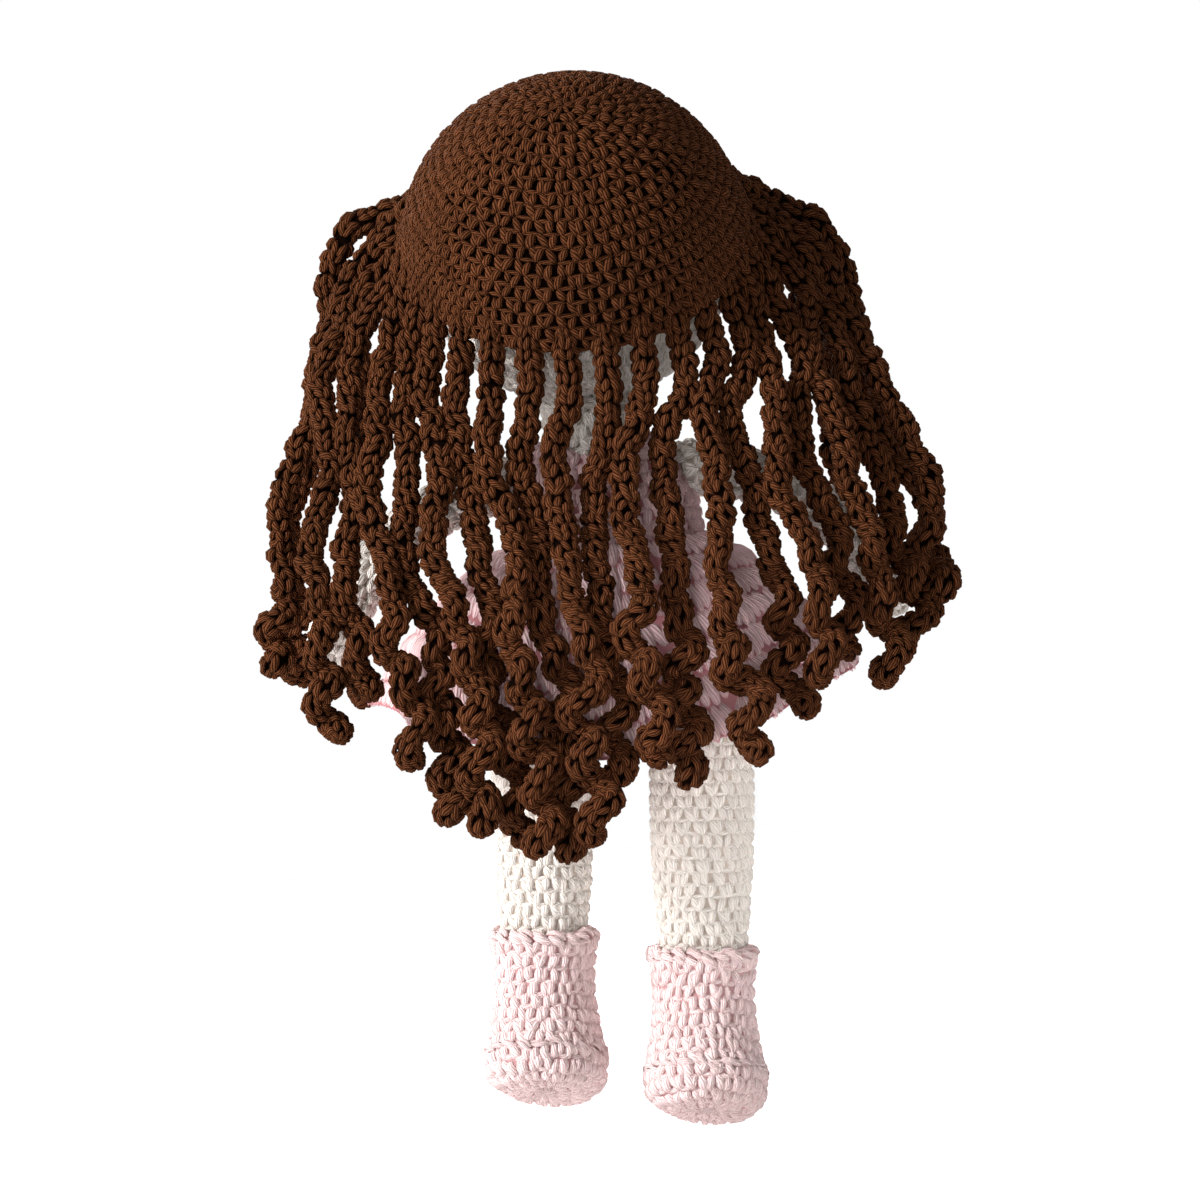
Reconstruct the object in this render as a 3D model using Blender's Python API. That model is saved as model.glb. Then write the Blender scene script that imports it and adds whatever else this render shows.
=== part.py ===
"""Crocheted doll: stuffed head, body and limbs, a cap with curly hair, a dress and boots.

Metres, +Z up. The origin is the middle of the waist, where a hand or a stand holds the doll.
The doll faces -Y, so its left side is at +X. Its hips are cocked and its legs lean to its left.
"""

import math

import bmesh
import bpy
from mathutils import Matrix, Vector

# Fabric and fits
KNIT_WALL = 0.003
CAP_WALL = 0.004
DRESS_WALL = 0.0026
BOOT_WALL = 0.0034
FIT_GAP = 0.0004
SOCKET_GAP = 0.0006
CUT_OVERRUN = 0.004

# Head and cap
HEAD_RADIUS = 0.0555
HEAD_OPENING_RADIUS = 0.014
CAP_TILT = math.radians(39)
CAP_REACH = math.radians(89)

# Eyes
EYE_RADIUS = 0.0045
EYE_RISE = 0.0028
EYE_STEM_RADIUS = 0.0015
EYE_STEM_GAP = 0.0003
EYE_STEM_LENGTH = 0.0065
EYE_WASHER_RADIUS = 0.0045
EYE_WASHER_THICKNESS = 0.0012
EYE_TURN = math.radians(23)
EYE_LIFT = math.radians(-3)

# Body
NECK_RADIUS = 0.0175
NECK_TOP = 0.0618
SHOULDER_TOP = 0.0485
BODY_DROP = 0.045
HIP_HALF_WIDTH = 0.040
HIP_HALF_DEPTH = 0.025
HIP_TILT = math.radians(12)

# Arms
SHOULDER_REACH = 0.032
SHOULDER_HEIGHT = 0.0355
ARM_BALL_RADIUS = 0.0095
ARM_RADIUS = 0.0088
ARM_OPENING_RADIUS = 0.0042
ARM_LENGTH = 0.095
ARM_DROOP_START = math.radians(5)
ARM_DROOP_END = math.radians(75)

# Legs
HIP_SPREAD = 0.0282
HIP_PIVOT_DROP = 0.050
LEG_BALL_RADIUS = 0.0172
LEG_RADIUS = 0.0178
LEG_OPENING_RADIUS = 0.0050
LEG_TO_CUFF = 0.078
LEG_LEAN = math.radians(5)

# Boots
BOOT_HEIGHT = 0.0545
BOOT_HALF_WIDTH = 0.021
HEEL_LENGTH = 0.020
TOE_LENGTH = 0.037
CUFF_RADIUS = 0.0188
FOOT_TIP = math.radians(20)
FOOT_TURN = math.radians(14)

# Dress
SKIRT_TOP = 0.004
HEM_HALF_WIDTH = 0.085
HEM_HALF_DEPTH = 0.060
HEM_DROP_AT_SIDE = 0.040
HEM_DROP_AT_BACK = 0.065
FOLD_DEPTH = 0.0025
FOLD_COUNT = 9
ARMHOLE_CLEARANCE = 0.0016
NECKLINE_RADIUS = 0.016
NECKLINE_DROP = 0.0075

# Hair
STRAND_RADIUS = 0.0037
STRAND_CLEARANCE = 0.0012
ROOT_GAP = 0.0005
ROOT_ARC = math.radians(146)
ROOT_SPREAD = math.radians(104)
ROOT_FULLNESS_SHARE = 0.45
SIDE_TURN = math.radians(90)
HAIR_HALF_WIDTH = 0.110
HAIR_BACK_DEPTH = 0.054
MIDDLE_STAGGER = 0.0020
TIP_STAGGER = 0.0050
HAIR_MIDDLE_HEIGHT = 0.045
TIP_HALF_WIDTH = 0.122
TIP_LOWEST_DROP = 0.1
TIP_DRIFT = 0.003
CURL_RADIUS = 0.0044
CURL_PITCH = 0.026
CURL_START_HEIGHT = 0.020
TIP_SWELL = 1.18

# Facets
HEAD_SIDES = 22
HEAD_RINGS = 10
CAP_SIDES = 24
CAP_RINGS = 7
BODY_SIDES = 16
ARM_SIDES = 12
LEG_SIDES = 14
DRESS_SIDES = 36
EYE_SIDES = 12
DOME_RINGS = 4
LIMB_BALL_RINGS = 3
CUTTER_SIDES = 24
CUTTER_RINGS = 12
SKIRT_RINGS = 6
STRAND_STEPS = 60
SHARP_EDGE = math.radians(50)
POINTS_PER_CURL = 8
STRAIGHT_STEP = 0.017
MEASURING_STEP = 0.001

# Height, half width and half depth of the body under the neck, as shares of
# the height from its lowest point to the shoulder top, and of the hips
BODY_SHARES = (
    (0.925, 0.59, 0.68),
    (0.865, 0.68, 0.72),
    (0.78, 0.735, 0.79),
    (0.63, 0.765, 0.88),
    (0.48, 0.82, 0.94),
    (0.30, 0.99, 1.00),
    (0.15, 1.00, 0.88),
    (0.065, 0.86, 0.72),
    (0.02, 0.58, 0.46),
)

# Distance down the boot, half width, heel and toe, as shares of BOOT_HEIGHT,
# BOOT_HALF_WIDTH, HEEL_LENGTH and TOE_LENGTH
BOOT_SHARES = (
    (0.20, 0.83, 0.87, 0.48),
    (0.42, 0.83, 0.87, 0.56),
    (0.64, 0.91, 0.94, 0.77),
    (0.82, 1.00, 1.00, 0.96),
    (0.93, 0.96, 0.96, 0.95),
    (0.985, 0.72, 0.70, 0.77),
)

# Distance down the arm and radius there, as shares of ARM_LENGTH and ARM_RADIUS
ARM_SHARES = (
    (0.17, 1.01),
    (0.40, 0.97),
    (0.64, 0.97),
    (0.81, 1.07),
    (0.92, 1.00),
    (0.98, 0.66),
)

# Distance down the leg to the cuff and radius there, as shares of LEG_TO_CUFF and LEG_RADIUS
LEG_SHARES = (
    (0.28, 1.00),
    (0.58, 0.98),
    (0.86, 0.90),
)

# Turn of the strands about the doll at the root, at the middle and at the tip, and drop of
# the tip, as shares of ROOT_ARC, SIDE_TURN twice and TIP_LOWEST_DROP, from the doll's left
STRAND_SHARES = (
    (0.965, 1.225, 1.245, 0.27),
    (0.86, 1.45, 1.435, 0.37),
    (0.785, 0.778, 0.828, 0.21),
    (0.705, 0.667, 0.605, 0.45),
    (0.625, 0.570, 0.507, 0.32),
    (0.543, 0.485, 0.395, 0.56),
    (0.465, 0.408, 0.320, 0.75),
    (0.39, 0.339, 0.255, 0.80),
    (0.305, 0.272, 0.202, 0.86),
    (0.22, 0.206, 0.152, 0.88),
    (0.13, 0.139, 0.104, 0.91),
    (0.045, 0.072, 0.054, 0.86),
    (-0.045, 0.002, 0.010, 0.68),
    (-0.13, -0.061, -0.056, 0.62),
    (-0.22, -0.150, -0.110, 0.70),
    (-0.305, -0.228, -0.218, 0.64),
    (-0.39, -0.306, -0.322, 0.51),
    (-0.465, -0.383, -0.394, 0.41),
    (-0.543, -0.461, -0.450, 0.33),
    (-0.62, -0.544, -0.555, 0.44),
    (-0.695, -0.639, -0.640, 0.33),
    (-0.76, -0.79, -0.780, 0.17),
    (-0.835, -1.46, -1.44, 0.10),
    (-0.92, -1.22, -1.24, 0.16),
)

LEFT = Vector((1, 0, 0))
BACK = Vector((0, 1, 0))
DOWN = Vector((0, 0, -1))
CROWN = Vector((0, math.sin(CAP_TILT), math.cos(CAP_TILT)))
NAPE = Vector((0, math.cos(CAP_TILT), -math.sin(CAP_TILT)))
HEAD_RISE = math.sqrt(HEAD_RADIUS**2 - HEAD_OPENING_RADIUS**2)
HEAD_CENTRE = Vector((0, 0, NECK_TOP + FIT_GAP + HEAD_RISE))


def facet_share(sides, step):
    """How far a faceted ball reaches in between its corners, as a share of its radius."""
    return math.cos(math.pi / sides) * math.cos(step / 2)


HEAD_STEP = math.pi / HEAD_RINGS
CAP_STEP = CAP_REACH / CAP_RINGS
CAP_RADIUS = (HEAD_RADIUS + FIT_GAP) / facet_share(CAP_SIDES, CAP_STEP) + CAP_WALL
EYE_SEAT = HEAD_RADIUS + FIT_GAP
WASHER_SEAT = (HEAD_RADIUS - KNIT_WALL) * facet_share(HEAD_SIDES, HEAD_STEP) - FIT_GAP


def clear_scene():
    for obj in list(bpy.data.objects):
        bpy.data.objects.remove(obj)


def principled(name, colour, roughness):
    material = bpy.data.materials.new(name)
    material.use_nodes = True
    shader = material.node_tree.nodes["Principled BSDF"]
    shader.inputs["Base Color"].default_value = (*colour, 1)
    shader.inputs["Roughness"].default_value = roughness
    shader.inputs["Metallic"].default_value = 0
    material.diffuse_color = (*colour, 1)
    return material


def pivot_empty(name, place):
    empty = bpy.data.objects.new(name, None)
    empty.location = place
    bpy.context.collection.objects.link(empty)
    print(name, [round(value, 6) for value in place])
    return empty


def add_object(name, data, material, pivot):
    """Links data, given in world coordinates, as an object carried by the pivot."""
    data.transform(Matrix.Translation(-pivot.location))
    data.materials.append(material)
    obj = bpy.data.objects.new(name, data)
    obj.parent = pivot
    bpy.context.collection.objects.link(obj)
    return obj


def cut(obj, data):
    """Takes a closed mesh, given in world coordinates, out of an object."""
    cutter = bpy.data.objects.new(f"{obj.name}_cutter", data)
    cutter.hide_render = True
    cutter.display_type = "WIRE"
    bpy.context.collection.objects.link(cutter)
    modifier = obj.modifiers.new("Cut", "BOOLEAN")
    modifier.operation = "DIFFERENCE"
    modifier.object = cutter


def ring_points(frame, station, sides):
    """Points of one ring, or the one point where a form closes. A station is the distance
    along the path, the half width, and the reach to the back and to the front. A frame
    gives the centre at a distance, and the directions of the width and of the back."""
    distance, width, back, front = station
    centre, across, backward = frame(distance)
    if width == 0:
        return [centre]
    points = []
    for i in range(sides):
        angle = 2 * math.pi * i / sides
        reach = back if math.sin(angle) > 0 else front
        sideways = across * width * math.cos(angle)
        points.append(centre + sideways + backward * reach * math.sin(angle))
    return points


def inset(stations, depth):
    """Stations moved square to their outline, inwards where the depth is positive. A ring
    that this would carry past the ring above it, or past the closed end, is left out."""
    moved = []
    last = len(stations) - 1
    for i, (distance, width, back, front) in enumerate(stations):
        if width == 0:
            moved.append((distance - depth if i == last else distance + depth, 0, 0, 0))
            continue
        before = stations[max(i - 1, 0)]
        after = stations[min(i + 1, last)]
        along = after[0] - before[0]
        outward = (sum(after[1:]) - sum(before[1:])) / len(after[1:])
        length = math.hypot(along, outward)
        shrink = depth * along / length
        shift = depth * outward / length
        moved.append((distance + shift, width - shrink, back - shrink, front - shrink))
    kept = moved[:1]
    for station in moved[1:-1]:
        if kept[-1][0] < station[0] < moved[-1][0]:
            kept.append(station)
    return kept + moved[-1:]


def fill_between(mesh, above, below):
    """Faces from one ring to the next. They face out where the rings run down the path."""
    for i in range(max(len(above), len(below))):
        j = (i + 1) % max(len(above), len(below))
        if len(above) == 1:
            mesh.faces.new((above[0], below[i], below[j]))
        elif len(below) == 1:
            mesh.faces.new((above[i], below[0], above[j]))
        else:
            mesh.faces.new((above[i], below[i], below[j], above[j]))


def loft(name, rings, closed_loop=False):
    """One closed mesh through the rings. A closed loop joins its last ring to its first."""
    mesh = bmesh.new()
    rows = [[mesh.verts.new(point) for point in ring] for ring in rings]
    for above, below in zip(rows, rows[1:]):
        fill_between(mesh, above, below)
    if closed_loop:
        fill_between(mesh, rows[-1], rows[0])
    elif len(rows[0]) > 1:
        mesh.faces.new(rows[0])
    if not closed_loop and len(rows[-1]) > 1:
        mesh.faces.new(rows[-1][::-1])
    bmesh.ops.recalc_face_normals(mesh, faces=mesh.faces)
    data = bpy.data.meshes.new(name)
    mesh.to_mesh(data)
    mesh.free()
    data.shade_smooth()
    data.set_sharp_from_angle(angle=SHARP_EDGE)
    return data


def shell(name, frame, stations, wall, sides):
    """A hollow form of even wall, open at each end that doesn't close to a point."""
    outer = [ring_points(frame, station, sides) for station in stations]
    inner = [ring_points(frame, station, sides) for station in inset(stations, wall)]
    open_start = len(outer[0]) > 1
    open_end = len(outer[-1]) > 1
    if open_start and open_end:
        return loft(name, outer + inner[::-1], closed_loop=True)
    if open_end:
        return loft(name, outer + inner[::-1])
    return loft(name, outer[::-1] + inner)


def filling(name, frame, stations, wall, sides):
    """The stuffing under a shell's wall, flat where the shell is open."""
    rings = inset(stations, wall + FIT_GAP)
    return loft(name, [ring_points(frame, station, sides) for station in rings])


def ball_rings(radius, start, end, count):
    """Stations on a ball about distance zero, between two angles from where it starts."""
    stations = []
    for i in range(count + 1):
        angle = start + (end - start) * i / count
        reach = radius * math.sin(angle) if angle > 0 else 0
        stations.append((-radius * math.cos(angle), reach, reach, reach))
    return stations


def straight_path(start, direction, across):
    backward = across.cross(direction)

    def frame(distance):
        return start + direction * distance, across, backward

    return frame


def ball(name, centre, radius):
    frame = straight_path(centre, DOWN, LEFT)
    stations = ball_rings(radius, 0, math.pi, CUTTER_RINGS)
    stations[-1] = (radius, 0, 0, 0)
    return loft(name, [ring_points(frame, station, CUTTER_SIDES) for station in stations])


def rod(name, start, direction, radius, length, sides):
    across = direction.orthogonal().normalized()
    frame = straight_path(start, direction, across)
    ends = [(0, radius, radius, radius), (length, radius, radius, radius)]
    return loft(name, [ring_points(frame, station, sides) for station in ends])


def eye_direction(side):
    level = math.cos(EYE_LIFT)
    sideways = side * math.sin(EYE_TURN) * level
    return Vector((sideways, -math.cos(EYE_TURN) * level, math.sin(EYE_LIFT)))


def head_stations():
    opening = math.pi - math.asin(HEAD_OPENING_RADIUS / HEAD_RADIUS)
    return ball_rings(HEAD_RADIUS, 0, opening, HEAD_RINGS)


def make_head(pivot, cream, stuffing):
    frame = straight_path(HEAD_CENTRE, DOWN, LEFT)
    stations = head_stations()
    head = add_object("head", shell("head", frame, stations, KNIT_WALL, HEAD_SIDES), cream, pivot)
    inside = filling("head_stuffing", frame, stations, KNIT_WALL, HEAD_SIDES)
    ball_of_fibre = add_object("head_stuffing", inside, stuffing, pivot)
    for side in (1, -1):
        outward = eye_direction(side)
        outside = HEAD_CENTRE + outward * (EYE_SEAT + CUT_OVERRUN)
        stem_end = EYE_SEAT - EYE_STEM_LENGTH - FIT_GAP
        reach = EYE_SEAT + CUT_OVERRUN - stem_end
        hole = EYE_STEM_RADIUS + EYE_STEM_GAP
        recess = EYE_WASHER_RADIUS + FIT_GAP
        cut(head, rod("stem_hole", outside, -outward, hole, reach, EYE_SIDES))
        cut(ball_of_fibre, rod("washer_recess", outside, -outward, recess, reach, EYE_SIDES))


def make_eye(name, side, pivot, black):
    """A domed eye on the face, whose stem goes through the wall of the head."""
    outward = eye_direction(side)
    across = outward.orthogonal().normalized()
    frame = straight_path(HEAD_CENTRE + outward * EYE_SEAT, -outward, across)
    stations = [(-EYE_RISE, 0, 0, 0)]
    for i in range(1, DOME_RINGS):
        angle = math.pi / 2 * i / DOME_RINGS
        reach = EYE_RADIUS * math.sin(angle)
        stations.append((-EYE_RISE * math.cos(angle), reach, reach, reach))
    for distance, reach in (
        (0, EYE_RADIUS),
        (0, EYE_STEM_RADIUS),
        (EYE_STEM_LENGTH, EYE_STEM_RADIUS),
    ):
        stations.append((distance, reach, reach, reach))
    rings = [ring_points(frame, station, EYE_SIDES) for station in stations]
    add_object(name, loft(name, rings), black, pivot)


def make_washer(name, side, pivot, white):
    """The washer that grips the stem of an eye inside the head."""
    outward = eye_direction(side)
    across = outward.orthogonal().normalized()
    frame = straight_path(HEAD_CENTRE + outward * WASHER_SEAT, -outward, across)
    bore = EYE_STEM_RADIUS + EYE_STEM_GAP
    stations = []
    for distance, reach in (
        (0, EYE_WASHER_RADIUS),
        (EYE_WASHER_THICKNESS, EYE_WASHER_RADIUS),
        (EYE_WASHER_THICKNESS, bore),
        (0, bore),
    ):
        stations.append((distance, reach, reach, reach))
    rings = [ring_points(frame, station, EYE_SIDES) for station in stations]
    add_object(name, loft(name, rings, closed_loop=True), white, pivot)


def make_cap(pivot, brown):
    """The hair cap, worked from the crown down to a level rim and tilted back on the head."""
    frame = straight_path(HEAD_CENTRE, -CROWN, LEFT)
    stations = ball_rings(CAP_RADIUS, 0, CAP_REACH, CAP_RINGS)
    add_object("hair_cap", shell("hair_cap", frame, stations, CAP_WALL, CAP_SIDES), brown, pivot)


def body_frame(distance):
    """The body runs down from the neck. Under the waist its rings tilt with the hips."""
    tilt = HIP_TILT * max(distance, 0) / BODY_DROP
    across = Vector((math.cos(tilt), 0, math.sin(tilt)))
    return DOWN * distance, across, BACK


def body_stations():
    stations = [(-NECK_TOP, NECK_RADIUS, NECK_RADIUS, NECK_RADIUS)]
    stations.append((-(NECK_TOP + SHOULDER_TOP) / 2, NECK_RADIUS, NECK_RADIUS, NECK_RADIUS))
    stations.append((-SHOULDER_TOP, NECK_RADIUS, NECK_RADIUS, NECK_RADIUS))
    for height_share, width_share, depth_share in BODY_SHARES:
        height = height_share * (SHOULDER_TOP + BODY_DROP) - BODY_DROP
        depth = depth_share * HIP_HALF_DEPTH
        stations.append((-height, width_share * HIP_HALF_WIDTH, depth, depth))
    stations.append((BODY_DROP, 0, 0, 0))
    return stations


def body_half_sizes(height):
    """Half width and half depth of the body at a height, between its stations."""
    stations = body_stations()
    for above, below in zip(stations, stations[1:]):
        if -below[0] <= height <= -above[0]:
            share = (-above[0] - height) / (below[0] - above[0])
            return [a + (b - a) * share for a, b in zip(above[1:3], below[1:3])]
    return [0, 0]


def shoulder(side):
    return Vector((side * SHOULDER_REACH, 0, SHOULDER_HEIGHT))


def hip(side):
    centre, across, _ = body_frame(BODY_DROP)
    return DOWN * HIP_PIVOT_DROP + across * side * HIP_SPREAD


def make_body(pivot, cream, stuffing):
    stations = body_stations()
    outside = shell("body", body_frame, stations, KNIT_WALL, BODY_SIDES)
    body = add_object("body", outside, cream, pivot)
    inside = filling("body_stuffing", body_frame, stations, KNIT_WALL, BODY_SIDES)
    fibre = add_object("body_stuffing", inside, stuffing, pivot)
    for side in (1, -1):
        for socket in (body, fibre):
            cut(socket, ball("shoulder_socket", shoulder(side), ARM_BALL_RADIUS + SOCKET_GAP))
            cut(socket, ball("hip_socket", hip(side), LEG_BALL_RADIUS + SOCKET_GAP))


def arm_frame(side):
    """An arm leaves its shoulder nearly level and droops more and more towards the hand."""
    bend = ARM_DROOP_END - ARM_DROOP_START

    def frame(distance):
        droop = ARM_DROOP_START + bend * max(distance, 0) / ARM_LENGTH
        arc = ARM_LENGTH / bend
        out = arc * (math.sin(droop) - math.sin(ARM_DROOP_START))
        fall = arc * (math.cos(ARM_DROOP_START) - math.cos(droop))
        if distance < 0:
            out = distance * math.cos(droop)
            fall = distance * math.sin(droop)
        across = Vector((math.sin(droop), 0, side * math.cos(droop)))
        return shoulder(side) + Vector((side * out, 0, -fall)), across, BACK

    return frame


def arm_stations():
    opening = math.asin(ARM_OPENING_RADIUS / ARM_BALL_RADIUS)
    stations = ball_rings(ARM_BALL_RADIUS, opening, math.pi / 2, LIMB_BALL_RINGS)
    for distance_share, radius_share in ARM_SHARES:
        reach = radius_share * ARM_RADIUS
        stations.append((distance_share * ARM_LENGTH, reach, reach, reach))
    stations.append((ARM_LENGTH, 0, 0, 0))
    return stations


def make_arm(side_name, side, cream, stuffing):
    pivot = pivot_empty(f"shoulder_{side_name}_pivot", shoulder(side))
    frame = arm_frame(side)
    name = f"arm_{side_name}"
    add_object(name, shell(name, frame, arm_stations(), KNIT_WALL, ARM_SIDES), cream, pivot)
    name = f"arm_stuffing_{side_name}"
    add_object(name, filling(name, frame, arm_stations(), KNIT_WALL, ARM_SIDES), stuffing, pivot)


def leg_frame(side):
    """A leg leans straight down to the cuff. In the boot the foot tips toe down and turns."""
    direction = Vector((math.sin(LEG_LEAN), 0, -math.cos(LEG_LEAN)))
    across = Vector((math.cos(LEG_LEAN), 0, math.sin(LEG_LEAN)))

    def frame(distance):
        share = max(distance - LEG_TO_CUFF, 0) / BOOT_HEIGHT
        tip = FOOT_TIP * share
        turn = FOOT_TURN * min(2 * share, 1)
        centre = hip(side) + direction * min(distance, LEG_TO_CUFF)
        centre += direction * BOOT_HEIGHT / FOOT_TIP * math.sin(tip)
        centre += BACK * BOOT_HEIGHT / FOOT_TIP * (1 - math.cos(tip))
        tipped = BACK * math.cos(tip) - direction * math.sin(tip)
        turned = across * math.cos(turn) - tipped * math.sin(turn)
        return centre, turned, tipped * math.cos(turn) + across * math.sin(turn)

    return frame


def boot_stations():
    stations = [(LEG_TO_CUFF, CUFF_RADIUS, CUFF_RADIUS, CUFF_RADIUS)]
    for distance_share, width_share, heel_share, toe_share in BOOT_SHARES:
        stations.append(
            (
                LEG_TO_CUFF + distance_share * BOOT_HEIGHT,
                width_share * BOOT_HALF_WIDTH,
                heel_share * HEEL_LENGTH,
                toe_share * TOE_LENGTH,
            )
        )
    stations.append((LEG_TO_CUFF + BOOT_HEIGHT, 0, 0, 0))
    return stations


def leg_stations():
    """The leg, with the foot that fills the boot."""
    opening = math.asin(LEG_OPENING_RADIUS / LEG_BALL_RADIUS)
    stations = ball_rings(LEG_BALL_RADIUS, opening, math.pi / 2, LIMB_BALL_RINGS)
    for distance_share, radius_share in LEG_SHARES:
        reach = radius_share * LEG_RADIUS
        stations.append((distance_share * LEG_TO_CUFF, reach, reach, reach))
    return stations + inset(boot_stations(), BOOT_WALL + FIT_GAP)


def make_leg(side_name, side, cream, stuffing, pink):
    pivot = pivot_empty(f"hip_{side_name}_pivot", hip(side))
    frame = leg_frame(side)
    name = f"leg_{side_name}"
    add_object(name, shell(name, frame, leg_stations(), KNIT_WALL, LEG_SIDES), cream, pivot)
    name = f"leg_stuffing_{side_name}"
    add_object(name, filling(name, frame, leg_stations(), KNIT_WALL, LEG_SIDES), stuffing, pivot)
    name = f"boot_{side_name}"
    add_object(name, shell(name, frame, boot_stations(), BOOT_WALL, LEG_SIDES), pink, pivot)


def skirt_point(share, angle, depth):
    """A point of the skirt, this share of the way down from the waist and this deep in it."""
    waist_width, waist_depth = [size + FIT_GAP + DRESS_WALL for size in body_half_sizes(SKIRT_TOP)]
    side = math.cos(angle) ** 2
    back = math.sin(angle) ** 2
    drop = HEM_DROP_AT_SIDE * side + HEM_DROP_AT_BACK * back
    spread = (HEM_HALF_WIDTH - waist_width) * side + (HEM_HALF_DEPTH - waist_depth) * back
    slope = math.atan2(drop, spread) if share > 0 else math.pi / 2
    fold = FOLD_DEPTH * share * math.cos(FOLD_COUNT * angle) - depth * math.sin(slope)
    width = waist_width + (HEM_HALF_WIDTH - waist_width) * share + fold
    reach = waist_depth + (HEM_HALF_DEPTH - waist_depth) * share + fold
    height = SKIRT_TOP - share * drop - depth * math.cos(slope)
    return Vector((width * math.cos(angle), reach * math.sin(angle), height))


def dress_rings(depth):
    bodice = [station for station in body_stations() if SKIRT_TOP < -station[0] <= SHOULDER_TOP]
    frame = straight_path(Vector((0, 0, 0)), DOWN, LEFT)
    outset = inset(bodice, depth - DRESS_WALL - SOCKET_GAP)
    rings = [ring_points(frame, station, DRESS_SIDES) for station in outset]
    for i in range(SKIRT_RINGS + 1):
        angles = [2 * math.pi * k / DRESS_SIDES for k in range(DRESS_SIDES)]
        rings.append([skirt_point(i / SKIRT_RINGS, angle, depth) for angle in angles])
    return rings


def make_dress(pivot, pink):
    """Sleeveless dress: the bodice follows the body, and the skirt flares in soft folds."""
    rings = dress_rings(0) + dress_rings(DRESS_WALL)[::-1]
    dress = add_object("dress", loft("dress", rings, closed_loop=True), pink, pivot)
    for side in (1, -1):
        cut(dress, ball("armhole", shoulder(side), ARM_BALL_RADIUS + ARMHOLE_CLEARANCE))
    reach = HIP_HALF_DEPTH + DRESS_WALL + CUT_OVERRUN
    height = SHOULDER_TOP - NECKLINE_DROP + NECKLINE_RADIUS
    start = Vector((0, -reach, height))
    cut(dress, rod("neckline", start, BACK, NECKLINE_RADIUS, 2 * reach, CUTTER_SIDES))


def strand_knots(layer, root_share, middle_share, tip_share, drop_share):
    """Where a strand leaves the cap, where it hangs at the shoulder and where it ends."""
    turn = root_share * ROOT_ARC
    outward = NAPE * math.cos(turn) + LEFT * math.sin(turn)
    spread = ROOT_SPREAD * root_share**2
    leaving = DOWN * math.cos(spread) + LEFT * math.copysign(math.sin(spread), turn)
    lean = leaving.angle(-CROWN)
    level = (leaving + CROWN * math.cos(lean)).normalized()
    seat = HEAD_RADIUS + SOCKET_GAP + STRAND_RADIUS
    reach = STRAND_RADIUS * math.cos(lean)
    if level.dot(outward) > 0:
        reach = min(reach, (CAP_RADIUS + FIT_GAP - seat) / level.dot(outward))
    under_rim = CAP_RADIUS * math.cos(CAP_REACH) - ROOT_GAP - reach * math.tan(lean)
    root = HEAD_CENTRE + outward * seat + CROWN * under_rim
    turn = middle_share * SIDE_TURN
    depth = HAIR_BACK_DEPTH * math.cos(turn) + layer * MIDDLE_STAGGER
    middle = Vector((HAIR_HALF_WIDTH * math.sin(turn), depth, HAIR_MIDDLE_HEIGHT))
    turn = tip_share * SIDE_TURN
    curl = CURL_RADIUS + STRAND_RADIUS + STRAND_CLEARANCE
    tip_back = HEM_HALF_DEPTH + FOLD_DEPTH + TIP_DRIFT + curl
    depth = tip_back * math.cos(turn) + layer * TIP_STAGGER
    tip = Vector((TIP_HALF_WIDTH * math.sin(turn), depth, -drop_share * TIP_LOWEST_DROP))
    return root, leaving, middle, tip


def hermite(start, start_slope, end, end_slope, share):
    a = (1 + 2 * share) * (1 - share) ** 2
    b = share * (1 - share) ** 2
    c = share**2 * (3 - 2 * share)
    d = share**2 * (share - 1)
    return start * a + start_slope * b + end * c + end_slope * d


def strand_line(layer, shares):
    """The middle line of a strand before it curls, as points close together."""
    root, leaving, middle, tip = strand_knots(layer, *shares)
    start = root + leaving * 2 * STRAND_RADIUS
    falling = (tip - start).normalized()
    above = (middle - start).length
    swing = leaving * above * (1 + ROOT_FULLNESS_SHARE * shares[0] ** 2)
    below = (tip - middle).length
    line = [root]
    for i in range(STRAND_STEPS):
        line.append(hermite(start, swing, middle, falling * above, i / STRAND_STEPS))
    for i in range(STRAND_STEPS + 1):
        line.append(hermite(middle, falling * below, tip, DOWN * below, i / STRAND_STEPS))
    return line


def along(points, distance):
    """The point and the direction this far along a line of points."""
    for a, b in zip(points, points[1:]):
        length = (b - a).length
        if distance <= length or b is points[-1]:
            return a + (b - a) * distance / length, (b - a) / length
        distance -= length


def line_length(points):
    return sum((b - a).length for a, b in zip(points, points[1:]))


def curled(line, distance):
    """The point of a strand this far down its middle line, on its curl where it has one."""
    point, direction = along(line, distance)
    fallen = CURL_START_HEIGHT - point.z
    if fallen <= 0:
        return point
    share = min(fallen / CURL_PITCH, 1)
    reach = CURL_RADIUS * share**2 * (3 - 2 * share)
    turn = 2 * math.pi * fallen / CURL_PITCH
    across = direction.cross(BACK).normalized()
    backward = direction.cross(across)
    return point + (across * math.cos(turn) + backward * math.sin(turn)) * reach


def strand_points(layer, shares):
    line = strand_line(layer, shares)
    length = line_length(line)
    points = [line[0]]
    distance = 2 * STRAND_RADIUS
    while distance < length - STRAND_RADIUS:
        points.append(curled(line, distance))
        curling = along(line, distance)[0].z < CURL_START_HEIGHT
        distance += CURL_PITCH / POINTS_PER_CURL if curling else STRAIGHT_STEP
    last = (points[-1] - points[-2]).normalized()
    return points + [points[-1] + last * 2 * STRAND_RADIUS]


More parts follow.
